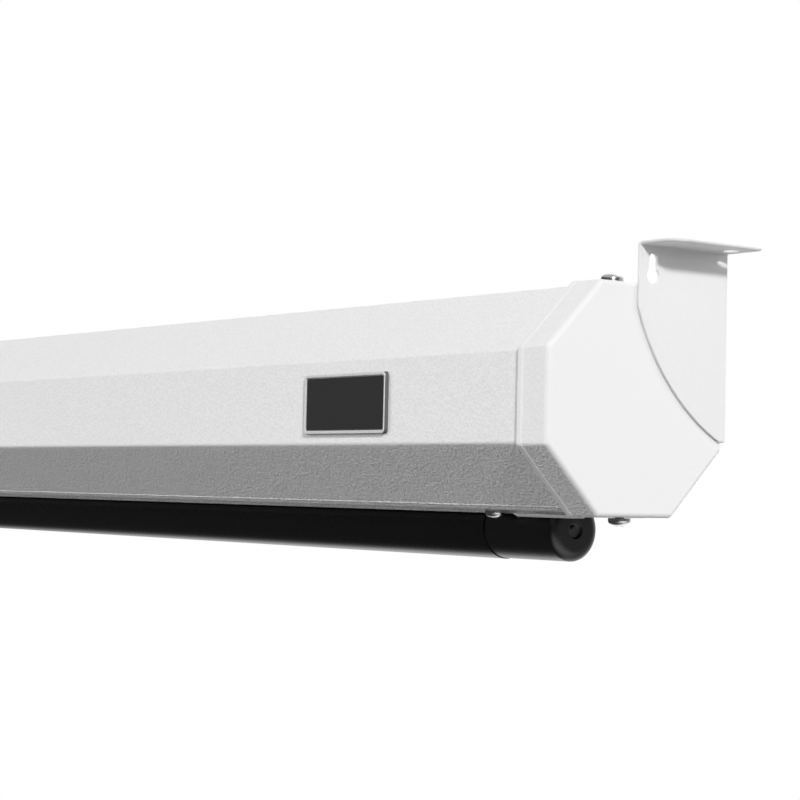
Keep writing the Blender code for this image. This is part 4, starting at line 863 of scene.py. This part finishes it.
class SCREEN_OT_hangers(Operator):
    """Fold the two hanging brackets: a soft-edged strip carried down the plate, with holes and studs."""

    bl_idname = "projector.hangers"
    bl_label = "Hanging brackets"

    def execute(self, context):
        sizes = context.scene.screen_sizes
        for word, side in SIDES:
            keyhole = extruded(self.keyhole(sizes), inboard(side, -CUTTER), inboard(side, CUTTER))
            flange_hole = (inboard(side, -FLANGE_HOLE_REACH), FLANGE_HOLE_Y, 0.0)
            studs = [level_rod(side, place, STUD_RADIUS, -FIT_GAP - BRACKET_SHEET / 2, STUD_END)
                     for place in STUD_PLACES]
            plate = shaped(self.strip(side, sizes.sheet_edge), studs,
                           [keyhole, upright_rod(flange_hole, FLANGE_HOLE_RADIUS, 48)])
            add_piece("hanger_sheet_" + word, plate, "bracket_paint", "case", "hanger_bracket_" + word)
        return {"FINISHED"}

    def keyhole(self, sizes):
        """Round hole with a narrower slot above it."""
        y, z = KEYHOLE_PLACE
        neck = math.acos(KEYHOLE_SLOT_HALF / sizes.keyhole)
        hole = arc_points((y, z), sizes.keyhole, math.pi - neck, math.pi + 2 * neck, 40)
        slot = arc_points((y, z + KEYHOLE_SLOT_RISE), KEYHOLE_SLOT_HALF, 0.0, math.pi, 20)
        return np.concatenate([hole, slot])

    def front_edge(self, station, is_flange):
        """Y of the strip's front edge: the plate's straight part and long arc, or the flange's corner."""
        start, end = np.array((-PLATE_DEPTH, -PLATE_STRAIGHT)), np.array((0.0, -PLATE_HEIGHT))
        chord = end - start
        length = np.linalg.norm(chord)
        normal = np.array((-chord[1], chord[0])) / length
        centre = (start + end) / 2 + normal * math.sqrt(PLATE_ARC_RADIUS ** 2 - length ** 2 / 4)
        arc = centre[0] - np.sqrt(np.maximum(PLATE_ARC_RADIUS ** 2 - (station - centre[1]) ** 2, 0.0))
        plate = np.where(station < -PLATE_STRAIGHT, arc, -PLATE_DEPTH)
        past = np.clip(station - (FLANGE_REACH - FLANGE_CORNER), 0.0, FLANGE_CORNER)
        corner = -PLATE_DEPTH + FLANGE_CORNER - np.sqrt(FLANGE_CORNER ** 2 - past ** 2)
        return np.where(is_flange, corner, plate)

    def strip(self, side, edge):
        """Section of the sheet, as wide as the front edge is far from the wall, carried up the plate,
        round the fold and out along the flange. Its outer side, which is the flange's underside, has the
        wide rounding of the edge; at both ends the section shrinks by a quarter circle."""
        middle = FIT_GAP + BRACKET_SHEET / 2
        bend, top = BRACKET_BEND + BRACKET_SHEET / 2, -BRACKET_SHEET - BRACKET_BEND
        beside_fold = 0.0005
        quarter = np.radians(np.linspace(0.0, 90.0, 7))
        tip = -PLATE_HEIGHT + PLATE_TIP_CUT
        plate = np.concatenate([tip + edge * (1 - np.cos(quarter)),
                                np.linspace(tip + edge, -PLATE_STRAIGHT, 44)[1:],
                                [-PLATE_STRAIGHT + beside_fold, top - beside_fold]])
        fold = np.linspace(0.0, math.pi / 2, 13)
        corner = FLANGE_REACH - FLANGE_CORNER * (1 - np.sin(np.linspace(0.0, math.pi / 2, 18)[:-1]))
        flange = np.concatenate([[middle + bend + beside_fold], corner[corner < FLANGE_REACH - edge * 1.01],
                                 FLANGE_REACH - edge * (1 - np.sin(quarter))])
        on_plate, on_flange = np.ones(len(plate)), np.ones(len(flange))
        out = np.concatenate([on_plate * middle, middle + bend * (1 - np.cos(fold)), flange])
        high = np.concatenate([plate, top + bend * np.sin(fold), on_flange * -BRACKET_SHEET / 2])
        lean = np.concatenate([on_plate * 0.0, fold, on_flange * math.pi / 2])
        shrink = np.zeros(len(out))
        shrink[:7] = 1 - np.sin(quarter)
        shrink[-7:] = 1 - np.cos(quarter)
        is_flange = np.arange(len(out)) >= len(plate) + len(fold)
        width = -self.front_edge(np.where(is_flange, out, high), is_flange)
        rings = []
        for out_x, high_z, tilt, share, depth in zip(out, high, lean, shrink, width):
            reach = max(depth, 4 * edge) - edge * share
            rear = -edge * share
            low, far = -BRACKET_SHEET / 2 + BRACKET_REAR_EDGE * share, BRACKET_SHEET / 2 - edge * share
            wide = edge * (0.3 + 0.7 * tilt / (math.pi / 2)) * (1 - share) + 2e-5
            small = BRACKET_REAR_EDGE * (1 - share) + 1e-5
            outline = rounded_outline([(-reach, low), (rear, low), (rear, far), (-reach, far)],
                                      [small, small, wide, wide], 6)
            y, across = outline.T
            x = side * (HALF_LENGTH + out_x + across * math.cos(tilt))
            rings.append(np.column_stack([x, y, high_z - across * math.sin(tilt)]))
        return solid(rings)


# Screws


def thread(start, end, core, crest, pitch, angles):
    """Rows of a screw thread: the radius is core + (crest - core) * (1 + cos(2 pi z / pitch - angle)) / 2,
    and it fades to a point of 0.55 * core over the last two turns."""
    along = np.arange(start, end, pitch / 5)
    fade = np.clip((end - along) / (2 * pitch), 0.0, 1.0)[:, None]
    wave = (1 + np.cos(math.tau * along[:, None] / pitch - angles)) / 2
    return along, core * (0.55 + 0.45 * fade) + (crest - core) * fade * wave


def pan_screw(place, direction, head, shank, length):
    """Domed screw with a cross recess.

    The dome's height over the seat is height * (0.24 + 0.76 * sqrt(1 - (r / head) ** 2.3)). Rings of the
    recess have the radius min(arm / cos(a), half width / sin(a)) of a cross, with a the angle folded
    into 0 to 45 degrees, and the dome's rings blend from that cross into circles.
    """
    height = SCREW_HEAD_HEIGHT
    angles = math.tau * np.arange(72) / 72
    folded = np.abs(np.mod(angles + math.pi / 4, math.pi / 2) - math.pi / 4)
    arm, half_width = head * 0.44, head * 0.11
    cross = np.minimum(arm / np.cos(folded), half_width / np.maximum(np.sin(folded), 1e-6))

    def dome(radius):
        return -height * (0.24 + 0.76 * np.sqrt(np.maximum(1 - (radius / head) ** 2.3, 0.0)))

    depth = height * 0.5
    rows = [(depth - height, cross * 0.0), (depth - height - depth * 0.06, cross * 0.5),
            (dome(cross * 0.97) + depth * 0.08, cross * 0.95), (dome(cross * 1.05), cross * 1.05)]
    for share in np.linspace(0.0, 1.0, 12)[1:]:
        blend = min(1.0, share * 2.2)
        circle = head * math.sin(math.pi / 2 * (0.35 + 0.65 * share))
        radius = (cross * 1.05 + head * 0.05) * (1 - blend) + circle * blend
        rows.append((dome(radius), radius))
    seat = FIT_GAP * 0.8
    rows += [(seat - 0.0001, head), (seat, head * 0.985), (seat, shank * 1.02)]
    turns, turn_radius = thread(0.0004, length - 0.0001, shank * 0.84, shank, 0.0007, angles)
    rows += [*zip(turns, turn_radius), (length, 0.0)]
    along, radius = (np.array([np.broadcast_to(row[part], angles.shape) for row in rows]) for part in (0, 1))
    return solid(spun(along, radius, angles, place, direction))


class SCREEN_OT_screws(Operator):
    """Turn the pan-head screws of the caps and of the front flange."""

    bl_idname = "projector.screws"
    bl_label = "Screws"

    def execute(self, context):
        cap = (CAP_SCREW_HEAD, CAP_SHANK, CAP_SCREW_HIGH.z - CAP_BOTTOM + FIT_GAP)
        lip = (LIP_SCREW_HEAD, LIP_SHANK, LIP_SCREW_HIGH.z - CASE_BOTTOM + FIT_GAP)
        for word, side in SIDES:
            cap_x, lip_x = inboard(side, CAP_SCREW_INBOARD), inboard(side, LIP_SCREW_INBOARD)
            for name, place, up, sizes in (
                    ("cap_screw_top_", (cap_x, CAP_SCREW_TOP_Y, CAP_TOP + FIT_GAP), -1, cap),
                    ("cap_screw_bottom_", (cap_x, CAP_SCREW_BOTTOM_Y, CAP_BOTTOM - FIT_GAP), 1, cap),
                    ("lip_screw_", (lip_x, LIP_SCREW_Y, CASE_BOTTOM - FIT_GAP), 1, lip)):
                screw = pan_screw(place, (0, 0, up), *sizes)
                add_piece("turned_" + name + word, screw, "screw_chrome", "case", name + word)
        return {"FINISHED"}


# Badge


def badge_ring(inset, y):
    """Rounded rectangle of the badge moved inwards, at one depth. Its right side slopes back."""
    low, high = BADGE_LOW, BADGE_HIGH
    slope = BADGE_SLOPE * max(0.0, (high.y - y) / (high.y - low.y)) * max(0.0, 1 - inset / BADGE_BORDER)
    left, right, bottom, top = low.x + inset, high.x - inset - slope, low.z + inset, high.z - inset
    corners = [(left, bottom), (right, bottom), (right, top), (left, top)]
    return at_y(rounded_outline(corners, max(BADGE_CORNER - inset * RADIUS_LOSS, FIT_GAP), CORNER_STEPS), y)


class SCREEN_OT_badge(Operator):
    """Press the bare badge: a rounded silver rim whose sides are painted dark as shade, and a plain dark
    panel.
    """

    bl_idname = "projector.badge"
    bl_label = "Badge"

    def execute(self, context):
        angle = np.radians(np.linspace(0.0, 90.0, 6))
        inwards, back = BADGE_EDGE * (1 - np.cos(angle)), BADGE_LOW.y + BADGE_EDGE * (1 - np.sin(angle))
        outer = np.column_stack([BADGE_TAPER + inwards, back])
        inner = np.column_stack([BADGE_BORDER - inwards, back])[::-1]
        rim = solid([badge_ring(inset, y) for inset, y in (
            (0.0, BADGE_HIGH.y), *outer, *inner, (BADGE_BORDER, BADGE_LOW.y + BADGE_SEAT))])
        # The rim's sides take the second material, which is painted shade
        add_piece("badge_rim", rim, "badge_metal", "case", "badge_frame", "badge_side")
        paint_second(rim, self.is_shaded_side)
        inset, soft, face = BADGE_BORDER + FIT_GAP, PANEL_EDGE, PANEL_LOW.y
        panel = solid([badge_ring(inset, y) for inset, y in (
            (inset, PANEL_HIGH.y), (inset, face + soft), (inset + soft * 0.3, face + soft * 0.3),
            (inset + soft, face))])
        add_piece("badge_field", panel, "badge_black", "case", "badge_panel")
        return {"FINISHED"}

    def is_shaded_side(self, x, y, z):
        """Faces behind the front edge that lie close to the badge's outline: the rim's sides, which get a
        dark colour as painted shade.
        """
        middle, half = (BADGE_LOW + BADGE_HIGH) / 2, (BADGE_HIGH - BADGE_LOW) / 2
        reach = np.maximum(abs(x - middle.x) - half.x, abs(z - middle.z) - half.z)
        return (y > BADGE_LOW.y + BADGE_EDGE * 0.7) & (reach > -BADGE_SHADED_SIDE)


# Weight bar


def hollow_outline(gap):
    """D-shaped hollow of the bar: a round bore less the wall round the hem channel, shrunk by a gap."""
    big, small = BAR_RADIUS - BAR_WALL - gap, CHANNEL + BAR_WALL + gap
    cross_z = (big ** 2 - small ** 2 + CHANNEL_Z ** 2) / (2 * CHANNEL_Z)
    cross_y = math.sqrt(big ** 2 - cross_z ** 2)
    first = math.atan2(cross_z, -cross_y)
    last = math.atan2(cross_z, cross_y) + math.tau
    start = math.atan2(cross_z - CHANNEL_Z, cross_y)
    sweep = (math.atan2(cross_z - CHANNEL_Z, -cross_y) - start) % math.tau - math.tau
    return np.concatenate([arc_points((FABRIC_Y, BAR_Z), big, first, last - first, 72),
                           arc_points((FABRIC_Y, BAR_Z + CHANNEL_Z), small, start, sweep, 24)[1:-1]])


def plug_profile():
    """(distance from the end, radius): the recess and its rounded mouth, the flat face, a quarter ellipse,
    the sleeve and its soft rear edge."""
    angle = np.radians(np.linspace(0.0, 90.0, 19))
    (deep, wide), soft = PLUG_DOME, PLUG_EDGE
    recess = [(RECESS_DEPTH, 0.0), (RECESS_DEPTH, 0.0026), (RECESS_DEPTH * 0.9, RECESS_RADIUS),
              (0.00025, 0.0033), (0.00007, 0.00345), (0.0, 0.0037)]
    dome = np.column_stack([deep * (1 - np.cos(angle)), PLUG_RADIUS - wide * (1 - np.sin(angle))])
    end = [(PLUG_SLEEVE - soft, PLUG_RADIUS), (PLUG_SLEEVE - soft * 0.3, PLUG_RADIUS - soft * 0.3),
           (PLUG_SLEEVE, PLUG_RADIUS - soft), (PLUG_SLEEVE, 0.0)]
    return np.concatenate([recess, dome, end])


class SCREEN_OT_weight_bar(Operator):
    """Draw the weight bar: a round tube with a hem channel on top, and a moulded plug in each end."""

    bl_idname = "projector.weight_bar"
    bl_label = "Weight bar"

    def execute(self, context):
        top, mouth = math.asin(CHANNEL_SLOT_HALF / BAR_RADIUS), math.asin(CHANNEL_SLOT_HALF / CHANNEL)
        outline = np.concatenate([
            arc_points((FABRIC_Y, BAR_Z), BAR_RADIUS, math.pi / 2 + top, math.tau - 2 * top, 120),
            arc_points((FABRIC_Y, BAR_Z + CHANNEL_Z), CHANNEL, math.pi / 2 - mouth,
                       2 * mouth - math.tau, 36)])
        tube = extruded(outline, BAR_TUBE_LOW.x, BAR_TUBE_HIGH.x)
        bore = extruded(hollow_outline(0.0), BAR_TUBE_LOW.x - CUTTER, BAR_TUBE_HIGH.x + CUTTER)
        tube = shaped(tube, taken=[bore])
        add_piece("weight_bar_drawn_tube", tube, "bar_paint", "weight_bar", "weight_bar_tube")
        for word, side in SIDES:
            end = side * PLUG_HIGH.x
            plug = solid(spun(*plug_profile().T, 96, (end, FABRIC_Y, BAR_Z), (-side, 0, 0)))
            start = end - side * (PLUG_SLEEVE - FIT_GAP)
            spigot = extruded(hollow_outline(FIT_GAP), start, start - side * SPIGOT_LENGTH)
            plug = shaped(plug, [spigot, self.pin(side, end)])
            add_piece("bar_end_plug_" + word, plug, "plug_plastic", "weight_bar", "bar_plug_" + word,
                      "plug_floor")
            paint_second(plug, lambda x, y, z: (abs(abs(x - end) - RECESS_DEPTH) < 0.0002)
                         & (np.hypot(y - FABRIC_Y, z - BAR_Z) < RECESS_RADIUS))
        return {"FINISHED"}

    def pin(self, side, end):
        """Small moulded pin on the recess's floor, as (distance from the end, radius)."""
        profile = np.array([(0.0002, 0.0), (0.00025, 0.0006), (0.0004, 0.0008), (0.0013, 0.00085)])
        return solid(spun(*profile.T, 24, (end, FABRIC_Y - 0.0008, BAR_Z + 0.0011), (-side, 0, 0)))


# Fabric


def cloth(name, path, up, columns, body, node, wall_share):
    """Open sheet carried straight across from a path of (Y, Z) points, with its flat place in metres as the
    UV map: U across, and V the flat height of each point of the path. Solidify gives it its thickness, half
    on each side, and its back and edges take the second material."""
    across = np.linspace(-FABRIC_HALF, FABRIC_HALF, columns)
    points = np.stack([at_x(path, x) for x in across], 1)
    uv = np.stack(np.broadcast_arrays(across, up[:, None]), -1).reshape(-1, 2)
    quads = grid_quads(len(path), columns, False)[:, ::-1]
    mesh = bpy.data.meshes.new(name)
    mesh.from_pydata(points.reshape(-1, 3), [], quads.tolist())
    layer = mesh.uv_layers.new(name="cloth")
    layer.data.foreach_set("uv", uv[quads.reshape(-1)].astype(np.float32).reshape(-1))
    piece = add_piece(name, mesh, "screen_fabric", body, node, "fabric_back")
    wall = piece.modifiers.new("fabric thickness", "SOLIDIFY")
    wall.thickness = FABRIC_THICKNESS * wall_share
    wall.offset = 0.0
    wall.material_offset = 1
    wall.material_offset_rim = 1
    return piece


def run_length(path):
    """Length of a path up to each of its points."""
    return np.concatenate([[0.0], np.cumsum(np.linalg.norm(np.diff(path, axis=0), axis=1))])


class SCREEN_OT_fabric(Operator):
    """Wind the fabric on the roller, hang its free end, and sew the hem round its rod."""

    bl_idname = "projector.fabric"
    bl_label = "Fabric"

    def execute(self, context):
        hem_top = BAR_Z + BAR_RADIUS
        strip, hem, rod = self.strip(hem_top), self.hem(hem_top), self.rod()
        roll, length = self.roll()
        return {"FINISHED"}

    def strip(self, hem_top):
        """Free end between roll and bar. Rows lie at equal steps of the share that the drop moves them,
        share = s * s * (3 - 2 * s), so that they are evenly spaced when the screen is down."""
        share = np.linspace(0.0, 1.0, 241)
        s = 0.5 - np.sin(np.arcsin(1 - 2 * share) / 3)
        bend_bottom = ROLLER_Z - FABRIC_BEND
        below = np.linspace(bend_bottom, hem_top, 8)[1:]
        z = np.concatenate([ROLLER_Z - FABRIC_BEND * s, below])
        moved = np.concatenate([share, np.ones(len(below))]) * DROP
        path = np.column_stack([np.full(len(z), FABRIC_Y), z])
        strip = cloth("fabric_free_end", path, (z - hem_top) + (DROP - moved), 25, None, "fabric_strip", 0.9)
        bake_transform(strip)
        return strip

    def hem(self, hem_top):
        """Loop of fabric round the rod, from the bar's top and back."""
        throat = math.asin(FABRIC_THICKNESS / HEM_OUTER)
        loop = arc_points((FABRIC_Y, BAR_Z + CHANNEL_Z), (HEM_INNER + HEM_OUTER) / 2, math.pi / 2 + throat,
                          math.tau - 2 * throat, 40)
        half = FABRIC_THICKNESS / 2
        loop = np.concatenate([[(FABRIC_Y - half, hem_top)], loop, [(FABRIC_Y + half, hem_top)]])
        return cloth("fabric_sewn_hem", loop, -run_length(loop), 25, "weight_bar", "fabric_hem", 0.9)

    def rod(self):
        """Round rod in the hem, with soft ends."""
        ends = np.array([0.0, 0.0, ROD_EDGE * 0.3, ROD_EDGE])
        loss = np.array([HEM_ROD_RADIUS, ROD_EDGE, ROD_EDGE * 0.3, 0.0])
        along = np.concatenate([ends, 2 * FABRIC_HALF - ends[::-1]])
        radius = HEM_ROD_RADIUS - np.concatenate([loss, loss[::-1]])
        rod = solid(spun(along, radius, 40, (-FABRIC_HALF, FABRIC_Y, BAR_Z + CHANNEL_Z), (1, 0, 0)))
        return add_piece("hem_round_rod", rod, "hem_rod_glassfibre", "weight_bar", "hem_rod")

    def roll(self):
        """Spiral of fabric and its length: the radius falls by one thickness for each turn."""
        half = FABRIC_THICKNESS / 2
        outer, inner = ROLL_RADIUS - half, TUBE_RADIUS + FIT_GAP + half
        turns = (outer - inner) / FABRIC_THICKNESS
        angle = math.tau * turns * np.linspace(0.0, 1.0, int(turns * 56) + 1)
        radius = outer - FABRIC_THICKNESS * angle / math.tau
        wound = np.column_stack([ROLLER_Y + radius * np.cos(angle), ROLLER_Z + radius * np.sin(angle)])
        length = run_length(wound)
        roll = cloth("fabric_wound_roll", wound, ROLL_FLAT_START + length, 9, "roller", "fabric_roll", 0.92)
        return roll, float(length[-1])


# Hidden works


class SCREEN_OT_works(Operator):
    """Give the motor, roller and brackets inside the case their finishes."""

    bl_idname = "projector.works"
    bl_label = "Motor, roller and inner brackets"

    def execute(self, context):
        nuts = [f"bracket_nut_{place}_{word}" for word, _ in SIDES for place in ("upper", "lower")]
        finishes = {
            "zinc_plate": ["idler_bracket", "motor_bracket", *nuts],
            "motor_steel": ["idler_pin", "motor_tube", "motor_shaft", "drive_screw"],
            "natural_nylon": ["idler_bush", "idler_plug", "crown_ring", "drive_wheel"],
            "head_plastic": ["motor_head"],
            "limit_brass": ["limit_screw_up", "limit_screw_down"],
            "tube_aluminium": ["roller_tube"],
            "grommet_rubber": ["cable_grommet"],
        }
        for finish, names in finishes.items():
            for name in names:
                materials = frame["nodes"][name].data.materials
                materials.clear()
                materials.append(FINISHES[finish])
        return {"FINISHED"}


# Studio


class SCREEN_OT_studio(Operator):
    """Set the camera of the photograph, the lights, the floor and the bright room."""

    bl_idname = "projector.studio"
    bl_label = "Studio"

    def execute(self, context):
        scene, settings = context.scene, context.scene.screen_studio
        camera = bpy.data.cameras.new("camera")
        camera.lens = settings.lens
        camera.sensor_width = 36.0
        camera.clip_start = 0.02
        camera.clip_end = 60.0
        eye = bpy.data.objects.new("camera", camera)
        turn = Matrix((CAMERA_RIGHT, CAMERA_UP, CAMERA_BACK)).transposed()
        eye.matrix_world = Matrix.Translation(CAMERA_PLACE) @ turn.to_4x4()
        scene.collection.objects.link(eye)
        scene.camera = eye
        for name, direction, angle in LIGHTS:
            light = bpy.data.lights.new(name, "SUN")
            light.energy = getattr(settings, name)
            light.angle = math.radians(angle)
            lamp = bpy.data.objects.new(name, light)
            lamp.matrix_world = Vector(direction).to_track_quat("Z", "Y").to_matrix().to_4x4()
            lamp.visible_glossy = name == "key"
            scene.collection.objects.link(lamp)
        self.room(scene, settings)
        self.floor(scene, settings)
        scene.view_settings.view_transform = "Standard"
        return {"FINISHED"}

    def room(self, scene, settings):
        """White to the camera, dim and even as light. Reflections see a dark room with a pale ceiling, a
        pale rear wall, a floor that is paler on the right, and a bright corner low at the left rear."""
        world = bpy.data.worlds.new("room")
        scene.world = world
        shading = Shading(world)
        background = shading.tree.nodes["Background"]
        path = shading.node("ShaderNodeLightPath")
        seen, mirrored = (Wire(shading, path.outputs[name]) for name in ("Is Camera Ray", "Is Glossy Ray"))
        heading = shading.node("ShaderNodeTexCoord").outputs["Object"]
        split = shading.node("ShaderNodeSeparateXYZ", None, {"Vector": Wire(shading, heading)})
        side, rear, high = (Wire(shading, split.outputs[letter]) for letter in "XYZ")
        right = side.smooth(-0.1, 0.5)
        wall = rear.smooth(0.2, 0.5) * (0.95 - right * 0.82)
        ground = high.smooth(-0.15, -0.35) * side.smooth(0.55, 0.75)
        ground = ground + high.smooth(-0.5, -0.75) * right * 0.35
        glow = rear.smooth(0.1, 0.35) * high.smooth(-0.2, -0.4) * (1 - right) * 0.36
        sights = wall + ground + glow + high.smooth(0.3, 0.7) * 0.5 + 0.05
        level = seen + (1 - seen) * (mirrored * sights + (1 - mirrored) * settings.ambient)
        shading.feed(background.inputs["Strength"], level)
        background.inputs["Color"].default_value = (1.0, 1.0, 1.0, 1.0)

    def floor(self, scene, settings):
        """Wide pale disc, so far below the case that views from underneath stay above it."""
        disc = at_z(arc_points((0.0, 0.0), FLOOR_RADIUS, 0.0, math.tau, 96)[:-1], settings.floor)
        mesh = bpy.data.meshes.new("floor")
        mesh.from_pydata(disc, [], [list(range(len(disc)))])
        floor = bpy.data.objects.new("floor", mesh)
        scene.collection.objects.link(floor)
        finish = Finish("floor", (0.0, 0.0, 0.0), 0.9, Specular_IOR_Level=0.0, Emission_Strength=1.0)
        finish.set("Emission Color", (1.0, 1.0, 1.0, 1.0))
        mesh.materials.append(finish.owner)
        floor.visible_diffuse = False
        floor.visible_glossy = False
        floor.visible_shadow = False


class SCREEN_PT_panel(Panel):
    """Sidebar list of the screen's pieces, sizes and colours."""

    bl_label = "Projector screen"
    bl_idname = "SCREEN_PT_panel"
    bl_space_type = "VIEW_3D"
    bl_region_type = "UI"
    bl_category = "Screen"

    def draw(self, context):
        layout = self.layout
        for group in GROUPS:
            box = layout.box()
            settings = getattr(context.scene, group)
            for name in settings.__annotations__:
                box.prop(settings, name)
        for operator in OPERATORS:
            layout.operator(operator.bl_idname)


GROUPS = {"screen_sizes": ScreenSizes, "screen_finishes": ScreenFinishes, "screen_studio": StudioSettings}
OPERATORS = [SCREEN_OT_studio, SCREEN_OT_case, SCREEN_OT_end_caps, SCREEN_OT_hangers, SCREEN_OT_screws,
             SCREEN_OT_badge, SCREEN_OT_weight_bar, SCREEN_OT_fabric, SCREEN_OT_works]


def register():
    for kind in (*GROUPS.values(), *OPERATORS, SCREEN_PT_panel):
        bpy.utils.register_class(kind)
    for name, kind in GROUPS.items():
        setattr(bpy.types.Scene, name, PointerProperty(type=kind))


def unregister():
    for name in GROUPS:
        delattr(bpy.types.Scene, name)
    for kind in (SCREEN_PT_panel, *reversed(OPERATORS), *GROUPS.values()):
        bpy.utils.unregister_class(kind)


def main():
    register()
    build_finishes(bpy.context)
    for operator in OPERATORS:
        group, name = operator.bl_idname.split(".")
        getattr(getattr(bpy.ops, group), name)()


if __name__ == "__main__":
    main()
